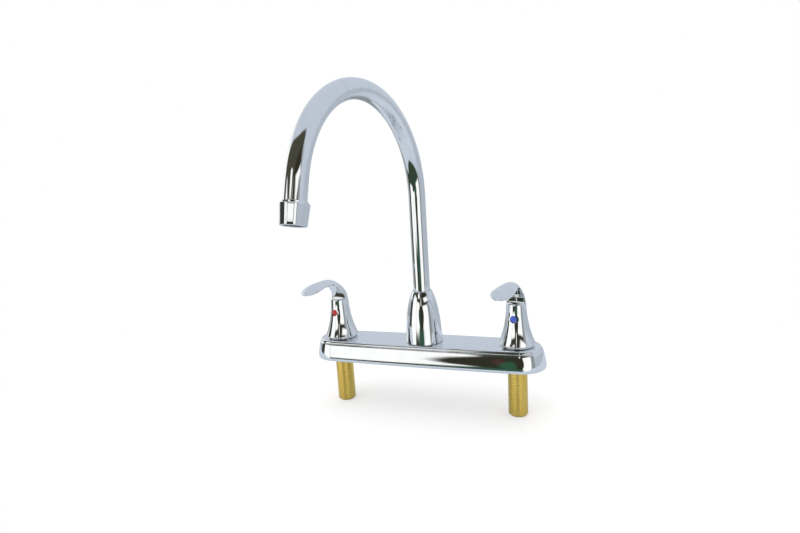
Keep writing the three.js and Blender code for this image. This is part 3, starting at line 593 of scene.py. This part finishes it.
def shank(name, sides=96, rows_per_pitch=10):
    """A brass tail with a plain neck, a fine thread down to its chamfer and an open bore."""
    foot, top = SHANK_BOTTOM, -SHANK_NECK
    rings = [level_ring(SHANK_BORE + COUNTERSINK_WIDENING, foot, sides)]
    for height in spread(foot, top, int((top - foot) / THREAD_PITCH * rows_per_pitch)):
        radii = [thread_radius(height, i / sides, foot, top) for i in range(sides)]
        rings.append([(r * x, r * y, height) for r, (x, y) in zip(radii, circle(1.0, sides))])
    for radius, height in (
        (SHANK_NECK_RADIUS, top + 0.4),
        (SHANK_NECK_RADIUS, -0.5),
        (SHANK_NECK_RADIUS - 0.4, 0.0),
        (SHANK_SPIGOT, 0.0),
        (SHANK_SPIGOT, SHANK_TOP),
        (SHANK_BORE, SHANK_TOP),
        (SHANK_BORE, foot + COUNTERSINK_DEPTH),
    ):
        rings.append(level_ring(radius, height, sides))
    verts, faces = skin(rings, closed=True)
    place = shift(VALVE_SIDE[name] * VALVE_SPACING / 2)
    piece(f"threaded_shank_{name}", "waterway", f"shank_{name}", verts, faces, place, 60.0)


# ---------- handles ----------


def bell_radius(height):
    share = max(0.0, (height - RIM_HEIGHT - RIM_BAND) / (BELL_HEIGHT - RIM_BAND))
    flare = (1 - min(1.0, share)) ** BELL_FLARE
    return BELL_NECK_RADIUS + (RIM_RADIUS - BELL_NECK_RADIUS) * flare


def bell_profile():
    """The bell from its splined boss down the inside, round the rim and up to its top."""
    inside = [
        (0.0, SPLINE_ROOF),
        (SPLINE_BORE, SPLINE_ROOF),
        (SPLINE_BORE, BOSS_FOOT),
        (BOSS_RADIUS, BOSS_FOOT),
        (BOSS_RADIUS, BELL_ROOF - BOSS_FILLET),
        (BOSS_RADIUS + BOSS_FILLET, BELL_ROOF),
    ]
    for z in spread(BELL_ROOF, RIM_HEIGHT, 14)[:-1]:
        inside.append((max(bell_radius(z) - BELL_WALL, BOSS_RADIUS + BOSS_FILLET + 0.1), z))
    inside += [(RIM_INNER_RADIUS, RIM_HEIGHT), (RIM_INNER_RADIUS, RIM_FOOT)]
    shoulder = BELL_TOP - SHOULDER_ROUND
    outside = [(RIM_RADIUS - inset, height) for inset, height in RIM_CORNERS]
    outside += [(bell_radius(z), z) for z in spread(RIM_HEIGHT + RIM_BAND, shoulder, 40)]
    for angle in spread(0.0, math.pi / 2, 8)[1:]:
        radius = bell_radius(shoulder) - SHOULDER_ROUND * (1 - math.cos(angle))
        outside.append((radius, shoulder + SHOULDER_ROUND * math.sin(angle)))
    outside.append((0.0, BELL_TOP + BELL_CROWN))
    return inside + rounded(outside, BELL_ROUND)


def crown_points():
    """The lever's crown line in its own plane: distances along the lever, and heights."""
    hood = BELL_TOP + LEVER_HOOD_RISE
    return [
        Vector((0.3 - BELL_NECK_RADIUS, BELL_TOP - 0.5 * LEVER_HOOD_RISE)),
        Vector((0.2 - BELL_NECK_RADIUS, BELL_TOP - 0.15 * LEVER_HOOD_RISE)),
        Vector((-0.75 * BELL_NECK_RADIUS, BELL_TOP + 0.27 * LEVER_HOOD_RISE)),
        Vector((-0.12 * BELL_NECK_RADIUS, BELL_TOP + 0.62 * LEVER_HOOD_RISE)),
        Vector((0.23 * LEVER_TIP_REACH, hood)),
        Vector((0.51 * LEVER_TIP_REACH, hood + 0.18 * LEVER_TIP_DROP)),
        Vector((0.75 * LEVER_TIP_REACH, hood - 0.1 * LEVER_TIP_DROP)),
        Vector((LEVER_TIP_REACH, hood - LEVER_TIP_DROP)),
    ]


# Along the crown: half widths, wrap angles, and grades from the paddle's 0 to the neck's 1.
LEVER_HALF_WIDTHS = [9.9, 9.9, 9.7, 9, 8.4, 10, LEVER_WIDTH / 2, LEVER_WIDTH / 2.7]
LEVER_WRAPS = [100, 99, 95, 84, 66, 50, 37, 30]
LEVER_GRADES = [1, 1, 1, 0.8, 0.5, 0.12, 0, 0]


def centripetal(points, share):
    """A point on the centripetal Catmull-Rom line through the points."""
    along = min(max(share, 0.0), 1.0) * (len(points) - 1)
    i = min(int(along), len(points) - 2)
    t = along - i
    first = points[i - 1] if i > 0 else 2 * points[0] - points[1]
    last = points[i + 2] if i + 2 < len(points) else 2 * points[-1] - points[-2]
    b, c = points[i], points[i + 1]
    gaps = [max((q - p).length, 1e-4) ** 0.5 for p, q in ((first, b), (b, c), (c, last))]
    m = (b - first) / gaps[0] - (c - first) / (gaps[0] + gaps[1]) + (c - b) / gaps[1]
    n = (c - b) / gaps[1] - (last - b) / (gaps[1] + gaps[2]) + (last - c) / gaps[2]
    m, n = m * gaps[1], n * gaps[1]
    return (
        b * (2 * t**3 - 3 * t**2 + 1)
        + m * (t**3 - 2 * t**2 + t)
        + c * (3 * t**2 - 2 * t**3)
        + n * (t**3 - t**2)
    )


def lever_rings(rows=110):
    """Closed sections of the lever from its root to its round tip, closer towards the tip."""
    crown = crown_points()
    return [lever_section(crown, 1 - (1 - i / rows) ** 1.45) for i in range(rows + 1)]


def lever_section(crown, share, columns=48):
    """One section: an arc over the top, two arms and a floor between them underneath."""
    at = centripetal(crown, share)
    ahead = centripetal(crown, min(1.0, share + 0.002)) - centripetal(crown, share - 0.002)
    ahead.normalize()
    outward = Vector((-ahead.y, ahead.x))
    from_tip = min(1.0, (at - crown[-1]).length / LEVER_TIP_ROUND)
    rounding = math.sqrt(1 - LEVER_TIP_TAPER * (1 - from_tip) ** 2)
    half_width = catmull(LEVER_HALF_WIDTHS, share) * rounding
    wrap = math.radians(catmull(LEVER_WRAPS, share))
    grade = catmull(LEVER_GRADES, share)
    depth = LEVER_THICKNESS + (LEVER_NECK_DEPTH - LEVER_THICKNESS) * grade
    rim = LEVER_RIM + (LEVER_NECK_RIM - LEVER_RIM) * grade
    radius = half_width / math.sin(min(wrap, math.pi / 2))
    inner_radius = radius - rim
    floor_angle = min(math.acos(max(-1.0, (radius - depth) / inner_radius)), 0.9 * wrap)

    def point(x, drop):
        fallen = at - outward * drop
        return Vector((x, -fallen.x, fallen.y))

    def on_arc(reach, angle):
        return point(reach * math.sin(angle), radius - reach * math.cos(angle))

    over = [on_arc(radius, across * wrap) for across in spread(-1.0, 1.0, columns)]
    arm = [on_arc(inner_radius, angle) for angle in spread(wrap, floor_angle, columns // 4)]
    width = inner_radius * math.sin(floor_angle)
    drop = radius - inner_radius * math.cos(floor_angle)
    floor = [point(x, drop) for x in spread(width, -width, columns // 3)]
    far_arm = [Vector((-p.x, p.y, p.z)) for p in reversed(arm)]
    under = arm + floor[1:-1] + far_arm
    # Towards the neck the hollow underneath turns into one smooth groove.
    side, end = radius * math.sin(wrap), radius * (1 - math.cos(wrap))
    share_of_groove = min(1.0, max(0.0, grade))
    first, last = LEVER_GROOVE_EDGE * math.pi, (1 - LEVER_GROOVE_EDGE) * math.pi
    for k, angle in enumerate(spread(first, last, len(under) - 1)):
        groove = point(side * math.cos(angle), end - (end - depth) * math.sin(angle))
        under[k] = under[k].lerp(groove, share_of_groove)
    return over + under


def handle(name):
    """A bell and a lever in one, with a bored boss for the index button."""
    bell = loose(*turned(bell_profile(), 144))
    join(bell, loose(*skin(lever_rings())), "UNION")
    boss = button_bar(BUTTON_RADIUS + BUTTON_BOSS, BOSS_RADIUS - 1.5, BUTTON_SEAT + 1)
    join(bell, boss, "UNION")
    recess = button_bar(BUTTON_RADIUS + GAP, BUTTON_SEAT, BUTTON_CROWN + 6)
    join(bell, recess, "DIFFERENCE")
    verts, faces = mesh_parts(bell.data)
    bpy.data.objects.remove(bell)
    body, place = f"{name}_handle", handle_place(name)
    piece(f"lever_handle_{name}", body, f"handle_{name}", verts, faces, place, 40.0)


def loose(verts, faces):
    """A mesh that only takes part in making another one, left in millimetres."""
    mesh = bpy.data.meshes.new("loose")
    mesh.from_pydata(verts, [], faces)
    made = stand("loose", mesh)
    settle(made, 180.0)
    return made


def join(body, tool, operation):
    """Joins a loose mesh to another one or cuts it away, and removes it."""
    change = body.modifiers.new("join", "BOOLEAN")
    change.operation = operation
    change.object = tool
    change.solver = "EXACT"
    shape = body.evaluated_get(bpy.context.evaluated_depsgraph_get())
    body.data = bpy.data.meshes.new_from_object(shape)
    body.modifiers.clear()
    bpy.data.objects.remove(tool)


def button_bar(radius, start, end):
    """A round bar at the button's height, between two distances in front of the valve."""
    rings = [[(x, -y, z + BUTTON_HEIGHT) for x, z in circle(radius, 64)] for y in (start, end)]
    return loose(*skin(rings))


def index_button(name):
    """A cap with a domed face, turned upright and laid into the handle's boss."""
    seat, shoulder = BUTTON_SEAT + GAP, BUTTON_CROWN - BUTTON_DOME
    profile = [(0.0, seat), (BUTTON_RADIUS - BUTTON_EDGE, seat)]
    profile += [(BUTTON_RADIUS, seat + BUTTON_EDGE), (BUTTON_RADIUS, shoulder)]
    for angle in spread(0.0, math.pi / 2, 12)[1:-1]:
        height = shoulder + BUTTON_DOME * math.sin(angle)
        profile.append((BUTTON_RADIUS * math.cos(angle) ** 0.8, height))
    profile.append((0.0, BUTTON_CROWN))
    verts, faces = turned(profile, 64)
    lie = shift(z=BUTTON_HEIGHT) @ Matrix.Rotation(math.pi / 2, 4, "X")
    body, node = f"{name}_handle", f"index_button_{name}"
    piece(f"index_cap_{name}", body, node, verts, faces, handle_place(name) @ lie)


# ---------- spout ----------


def spout_shroud(steps=48):
    """A bell shaped nut with a lip round the tube, a pocket for the split ring and a bore."""
    mouth = TUBE_RADIUS + GAP
    height = SHROUD_TOP - SHROUD_FOOT
    outside = [(SHROUD_FOOT_RADIUS - SHROUD_WALL, SHROUD_FOOT), (SHROUD_FOOT_RADIUS, SHROUD_FOOT)]
    for i in range(1, steps + 1):
        share = i / (steps + 0.4)
        narrowing = (share + share**4) / 2
        radius = SHROUD_FOOT_RADIUS + (SHROUD_MOUTH_RADIUS - SHROUD_FOOT_RADIUS) * narrowing
        outside.append((radius, SHROUD_FOOT + share * height))
    outside += [(SHROUD_MOUTH_RADIUS - SHROUD_MOUTH_ROUND, SHROUD_TOP), (mouth, SHROUD_TOP)]
    inside = [
        (mouth, SHROUD_LEDGE),
        (RING_POCKET_RADIUS, SHROUD_LEDGE),
        (RING_POCKET_RADIUS, RING_POCKET_FOOT),
        (SHROUD_BORE, RING_POCKET_FOOT),
        (SHROUD_BORE, SHROUD_BORE_FOOT),
        (SHROUD_FOOT_RADIUS - SHROUD_WALL - 0.6, SHROUD_RECESS),
    ]
    verts, faces = turned(rounded(outside, SHROUD_MOUTH_ROUND) + inside, 144)
    piece("shroud_shell", "waterway", "spout_shroud", verts, faces)


def spout_line(share_of_bend):
    """A point and direction of the tube's middle line, in its own plane, within the bend."""
    angle = math.radians(BEND_ANGLE) * share_of_bend
    reach, rise = BEND_RADIUS * (1 - math.cos(angle)), BEND_RADIUS * math.sin(angle)
    at = Vector((reach, 0.0, BEND_START + rise))
    return at, Vector((math.sin(angle), 0.0, math.cos(angle)))


def spout_stations():
    """The middle line from the foot through the bend to the end in the collar."""
    up = Vector((0.0, 0.0, 1.0))
    stations = [(up * z, up) for z in spread(TUBE_FOOT, BEND_START, 40)]
    stations += [spout_line(share) for share in spread(0.0, 1.0, 150)[1:]]
    end, way = spout_line(1.0)
    length = OUTLET_STRAIGHT + OUTLET_INSERT
    return stations + [(end + way * d, way) for d in spread(0.0, length, 10)[1:]]


def tube_ring(station, radius):
    at, way = station
    across = Vector((0.0, 1.0, 0.0))
    outward = across.cross(way)
    return [at + (across * y + outward * x) * radius for x, y in circle(1.0, 72)]


def spout_tube():
    """The gooseneck, an open pipe swept along its middle line."""
    stations = spout_stations()
    rings = [tube_ring(station, TUBE_RADIUS) for station in stations]
    # The bore needs only every fourth station; the count is such that both ends are among them.
    bore = stations[::4]
    rings += [tube_ring(station, TUBE_RADIUS - TUBE_WALL) for station in reversed(bore)]
    verts, faces = skin(rings, closed=True)
    piece("gooseneck", "spout", "spout_tube", verts, faces, turn_about_z(SPOUT_AZIMUTH))


def outlet_place():
    """The aerator's own axes: its top at the origin, its mouth below."""
    end, way = spout_line(1.0)
    at = end + way * OUTLET_STRAIGHT
    tilt = Matrix.Rotation(math.radians(BEND_ANGLE - 180), 4, "Y")
    return turn_about_z(SPOUT_AZIMUTH) @ shift(*at) @ tilt


def outlet_collar():
    """The ring round the tube's end: a bead that shows, and a ledge that holds the washer."""
    mouth, foot = TUBE_RADIUS + GAP, WASHER_TOP + GAP
    outside = [(mouth, COLLAR_BEAD), (COLLAR_RADIUS, COLLAR_BEAD)]
    outside += [(COLLAR_RADIUS, foot), (COLLAR_LEDGE_RADIUS, foot)]
    inside = [(COLLAR_LEDGE_RADIUS, foot + COLLAR_LEDGE), (mouth, foot + COLLAR_LEDGE)]
    verts, faces = turned(rounded(outside, COLLAR_ROUND) + inside, 96)
    piece("outlet_bead", "spout", "outlet_collar", verts, faces, outlet_place())


def aerator_flats(radius, height, steps=16):
    """A level of the skirt: straight flats with softened edges between them."""
    ring = []
    flat_turn = FULL_TURN / AERATOR_SIDES
    for i in range(AERATOR_SIDES * steps):
        turn = math.radians(AERATOR_TURN) + i / steps * flat_turn
        off = (i % steps / steps - 0.5) * flat_turn
        flat = math.cos(math.pi / AERATOR_SIDES) / math.cos(off)
        reach = radius * min(flat, 1 - AERATOR_SOFTNESS)
        ring.append((reach * math.cos(turn), reach * math.sin(turn), height))
    return ring


def aerator_housing():
    """Ten flats, rounded in at both ends, with a stepped bore."""
    levels = []
    for angle in spread(0.0, math.pi / 2, 4):
        drawn_in = AERATOR_ROUND * (1 - math.sin(angle))
        levels.append((AERATOR_TOP_RADIUS - drawn_in, AERATOR_ROUND * (math.cos(angle) - 1)))
    for share in spread(0.06, 0.94, 12):
        radius = AERATOR_TOP_RADIUS + (AERATOR_OUTLET_RADIUS - AERATOR_TOP_RADIUS) * share
        levels.append((radius, -AERATOR_LENGTH * share))
    for angle in spread(0.0, math.pi / 2, 4):
        drawn_in = AERATOR_ROUND * (1 - math.cos(angle))
        height = AERATOR_ROUND * (1 - math.sin(angle)) - AERATOR_LENGTH
        levels.append((AERATOR_OUTLET_RADIUS - drawn_in, height))
    rings = [aerator_flats(radius, height) for radius, height in levels]
    bore = [
        (AERATOR_LIP + AERATOR_LIP_CHAMFER, -AERATOR_LENGTH),
        (AERATOR_LIP, AERATOR_LIP_CHAMFER - AERATOR_LENGTH),
        (AERATOR_LIP, AERATOR_LIP_TOP),
        (INSERT_RADIUS + GAP, AERATOR_LIP_TOP),
        (INSERT_RADIUS + GAP, JET_DISC_TOP),
        (COLLAR_RADIUS + THREAD_GAP, JET_DISC_TOP),
        (COLLAR_RADIUS + THREAD_GAP, 0.0),
    ]
    turn = math.radians(AERATOR_TURN)
    rings += [level_ring(radius, height, len(rings[0]), turn) for radius, height in bore]
    verts, faces = skin(rings, closed=True)
    piece("aerator_skirt", "spout", "aerator_housing", verts, faces, outlet_place(), 30.0)


def screen_openings():
    """The near corners of the square openings that fit inside the screen's rim."""
    half = int(INSERT_RADIUS / SCREEN_PITCH) + 1
    openings = []
    for y in [row * SCREEN_PITCH for row in range(-half, half)]:
        for x in [column * SCREEN_PITCH for column in range(-half, half)]:
            xs, ys = (x, x + SCREEN_PITCH), (y, y + SCREEN_PITCH)
            if max(math.hypot(a, b) for a in xs for b in ys) < INSERT_RADIUS - SCREEN_RIM:
                openings.append((x + SCREEN_BAR / 2, y + SCREEN_BAR / 2))
    return openings


def aerator_screen():
    """A fine square mesh in a rim, cut from one sheet."""
    foot = AERATOR_LIP_TOP + GAP
    size = SCREEN_PITCH - SCREEN_BAR
    loops = [circle(INSERT_RADIUS, 96)]
    for x, y in screen_openings():
        loops.append([(x, y), (x + size, y), (x + size, y + size), (x, y + size)])
    work = bmesh.new()
    edges = []
    for loop in loops:
        ring = [work.verts.new((x, y, foot)) for x, y in loop]
        edges += [loop_edge(work, ring, i) for i in range(len(ring))]
    bmesh.ops.triangle_fill(work, use_beauty=True, edges=edges)
    sheet = bmesh.ops.extrude_face_region(work, geom=list(work.faces))
    raised = [item for item in sheet["geom"] if isinstance(item, bmesh.types.BMVert)]
    bmesh.ops.translate(work, verts=raised, vec=(0, 0, SCREEN_THICKNESS))
    bmesh.ops.recalc_face_normals(work, faces=work.faces)
    verts, faces = work_parts(work)
    piece("aerator_mesh", "spout", "aerator_screen", verts, faces, outlet_place(), 30.0)


deck_cover()
for valve in VALVE_SIDE:
    shank(valve)
    handle(valve)
    index_button(valve)
spout_shroud()
spout_tube()
outlet_collar()
aerator_housing()
aerator_screen()

# ---------- floor, light and camera ----------

# A small table, in millimetres, that ends in front below the picture's edge.
FLOOR_NEAR, FLOOR_FAR, FLOOR_SIDE = -260.0, 320.0, 600.0
FLOOR_CLEARANCE = 0.3
FLOOR_TONE = 0.7
FLOOR_GLOW = 0.42  # brings the lit floor up to white, and leaves the shadow on it
FLOOR_IN_MIRRORS = (0.0, 0.07, 0.15)  # added to the lit floor where the metal shows it


def seen_rays(graph):
    """1 where the camera sees a surface, straight or in a mirror."""
    ray = graph.node("ShaderNodeLightPath").outputs
    mirrored = graph.math("MAXIMUM", ray["Is Glossy Ray"], ray["Is Transmission Ray"])
    return ray["Is Camera Ray"], mirrored


def floor():
    """A matt white table that keeps the part's shadow."""
    height = SHANK_BOTTOM - FLOOR_CLEARANCE
    sides = [(-FLOOR_SIDE, FLOOR_NEAR), (FLOOR_SIDE, FLOOR_NEAR)]
    sides += [(FLOOR_SIDE, FLOOR_FAR), (-FLOOR_SIDE, FLOOR_FAR)]
    mesh = bpy.data.meshes.new("floor")
    mesh.from_pydata([Vector((x, y, height)) * MM for x, y in sides], [], [(0, 1, 2, 3)])
    made = stand("floor", mesh)
    material, graph = new_material("pale_floor")
    matt = graph.node("ShaderNodeBsdfDiffuse", {"Color": grey(FLOOR_TONE)})
    straight, mirrored = seen_rays(graph)
    tone = graph.mix(straight, grey(0.0), grey(FLOOR_GLOW))
    tone = graph.mix(mirrored, tone, rgb(*FLOOR_IN_MIRRORS))
    glow = graph.node("ShaderNodeEmission", {"Color": tone, "Strength": 1.0})
    both = graph.node("ShaderNodeAddShader")
    graph.put(both.inputs[0], matt.outputs[0])
    graph.put(both.inputs[1], glow.outputs[0])
    graph.node("ShaderNodeOutputMaterial", {"Surface": both.outputs[0]})
    mesh.materials.append(material)


WORLD_LIGHT = 0.88  # the plain level at which the world lights the part

# The studio as its reflections show it, on a blue-grey tent, each panel over those before it:
# name, colour, middle azimuth (from the front, positive to the right) and elevation, half
# sizes, all in degrees, then the softness of its edge, its lean to the right with height, and
# how square its corners are.
TENT = (0.64, 0.705, 0.785)
WHITE = (1.25, 1.25, 1.21)
ROUND, SQUARE = 2.0, 9.0
STUDIO = [
    ("white sweep behind", WHITE, (-104, 14), (24, 14), 8, 0.0, 3.0),
    ("tent's far side", (0.52, 0.58, 0.64), (120, -6), (70, 11), 6, 0.0, 4.0),
    ("grey ground behind", (0.30, 0.32, 0.34), (-165, -32), (26, 24), 8, 0.0, ROUND),
    ("ground to the left", (0.42, 0.44, 0.43), (-112, -16), (26, 16), 6, 0.0, ROUND),
    ("ground in front", (0.040, 0.070, 0.044), (-13, -12), (76, 33), 2, 0.0, 1.5),
    ("ceiling in front", (0.075, 0.073, 0.052), (-14, 32), (74, 30), 2, 0.8, ROUND),
    ("dark ceiling", (0.036, 0.031, 0.022), (38, 24), (31, 16), 7, 0.0, ROUND),
    ("dark left edge", (0.045, 0.05, 0.042), (-82, -2), (12.5, 17), 1.5, 0.0, SQUARE),
    ("grey right edge", (0.33, 0.35, 0.35), (64, 0), (8, 17), 3, 0.0, SQUARE),
    ("middle of the room", (0.045, 0.050, 0.033), (-10, 4), (26, 20), 2, 0.0, SQUARE),
    ("left screen", WHITE, (-52, 3), (17, 17), 1.2, 0.0, SQUARE),
    ("inner left screen", WHITE, (-21.5, 4), (12.5, 12), 1.5, 0.0, SQUARE),
    ("right screen", WHITE, (34.5, -2), (19.5, 15), 1.5, 0.0, SQUARE),
    ("small lamp", WHITE, (2.5, 11), (2, 12), 0.7, 0.0, SQUARE),
    ("left lamp", WHITE, (-18, 27), (9, 4.5), 1.5, 0.0, SQUARE),
    ("right lamp", WHITE, (46, 21), (18, 3.5), 1.5, -1.0, SQUARE),
    ("dark wedge", (0.036, 0.036, 0.024), (3, 2.5), (18, 9.5), 1, 0.0, ROUND),
    ("red patch", (0.085, 0.042, 0.035), (-5.6, 4.5), (0.8, 3.5), 0.4, 0.0, ROUND),
    ("green patch", (0.035, 0.11, 0.06), (-3.6, -1), (2.0, 7), 0.6, 0.0, ROUND),
    ("green strip below", (0.04, 0.11, 0.075), (2, -9.5), (15, 3), 1.5, 0.0, SQUARE),
]


def panel_mask(graph, azimuth, elevation, middle, half, soft, lean, squareness):
    """1 inside a panel of the studio and 0 outside it, with soft edges."""
    rise = graph.math("SUBTRACT", elevation, middle[1])
    off = graph.math("SUBTRACT", azimuth, graph.math("MULTIPLY", rise, lean))
    off = graph.math("SUBTRACT", off, middle[0])
    wrapped = graph.node("ShaderNodeMath", operation="WRAP")
    for socket, value in zip(wrapped.inputs, (off, 180.0, -180.0)):
        graph.put(socket, value)
    reach = 0.0
    for distance, size in ((wrapped.outputs[0], half[0]), (rise, half[1])):
        share = graph.math("DIVIDE", graph.math("ABSOLUTE", distance), size)
        reach = graph.math("ADD", reach, graph.math("POWER", share, squareness))
    reach = graph.math("POWER", reach, 1 / squareness)
    edge = soft / min(half)
    return graph.remap(reach, 1 - edge, 1 + edge, 1.0, 0.0, smooth=True)


def studio():
    world = bpy.data.worlds.new("studio")
    bpy.context.scene.world = world
    world.use_nodes = True
    graph = Graph(world.node_tree)
    way = graph.node("ShaderNodeTexCoord").outputs["Generated"]
    parts = graph.node("ShaderNodeSeparateXYZ", {"Vector": way}).outputs
    front = graph.math("MULTIPLY", parts[1], -1.0)
    azimuth = graph.math("DEGREES", graph.math("ARCTAN2", parts[0], front))
    elevation = graph.math("DEGREES", graph.math("ARCSINE", parts[2]))
    color = rgb(*TENT)
    for _, tone, *outline in STUDIO:
        mask = panel_mask(graph, azimuth, elevation, *outline)
        color = graph.mix(mask, color, rgb(*tone))
    straight, mirrored = seen_rays(graph)
    plain = graph.mix(straight, grey(WORLD_LIGHT), grey(1.0))
    seen = graph.mix(mirrored, plain, color)
    back = graph.node("ShaderNodeBackground", {"Color": seen, "Strength": 1.0})
    graph.node("ShaderNodeOutputWorld", {"Surface": back.outputs[0]})


KEY_ANGLE = 50.0
KEY_STRENGTH = 0.45
KEY_DIRECTION = Vector((0.5, 0.6, -1.0))


def key_light():
    """A broad soft lamp from above and in front; its shape shows in no reflection."""
    light = bpy.data.lights.new("key_light", "SUN")
    light.angle = math.radians(KEY_ANGLE)
    light.energy = KEY_STRENGTH
    made = stand("key_light", light)
    made.rotation_euler = KEY_DIRECTION.to_track_quat("-Z", "Y").to_euler()
    made.visible_glossy = False


# Where the photograph was taken from: the camera orbits a target and is rolled a little.
FRAME_WIDTH, FRAME_HEIGHT = 800, 533
CAMERA_TARGET = Vector((-25.15, 0.0, 110.16))
CAMERA_AZIMUTH, CAMERA_ELEVATION, CAMERA_ROLL = 19.63, 9.78, -3.48
CAMERA_DISTANCE = 550.22
FOCAL_PIXELS = 495.84
PRINCIPAL_POINT = (398.7, 262.99)
SENSOR_WIDTH = 36.0


def camera():
    angles = (CAMERA_AZIMUTH, CAMERA_ELEVATION, CAMERA_ROLL)
    azimuth, elevation, roll = (math.radians(angle) for angle in angles)
    reach = math.cos(elevation)
    back = Vector((math.sin(azimuth) * reach, -math.cos(azimuth) * reach, math.sin(elevation)))
    level = Vector((math.cos(azimuth), math.sin(azimuth), 0.0))
    upright = back.cross(level)
    right = math.cos(roll) * level + math.sin(roll) * upright
    up = math.cos(roll) * upright - math.sin(roll) * level
    data = bpy.data.cameras.new("camera")
    data.sensor_width = SENSOR_WIDTH
    data.lens = FOCAL_PIXELS / FRAME_WIDTH * SENSOR_WIDTH
    data.shift_x = (FRAME_WIDTH / 2 - PRINCIPAL_POINT[0]) / FRAME_WIDTH
    data.shift_y = -(FRAME_HEIGHT / 2 - PRINCIPAL_POINT[1]) / FRAME_WIDTH
    data.clip_start = 0.01
    made = stand("camera", data)
    turn = Matrix((right, up, back)).transposed().to_4x4()
    made.matrix_world = Matrix.Translation((CAMERA_TARGET + back * CAMERA_DISTANCE) * MM) @ turn
    bpy.context.scene.camera = made


floor()
studio()
key_light()
camera()
bpy.context.scene.view_settings.view_transform = "Standard"
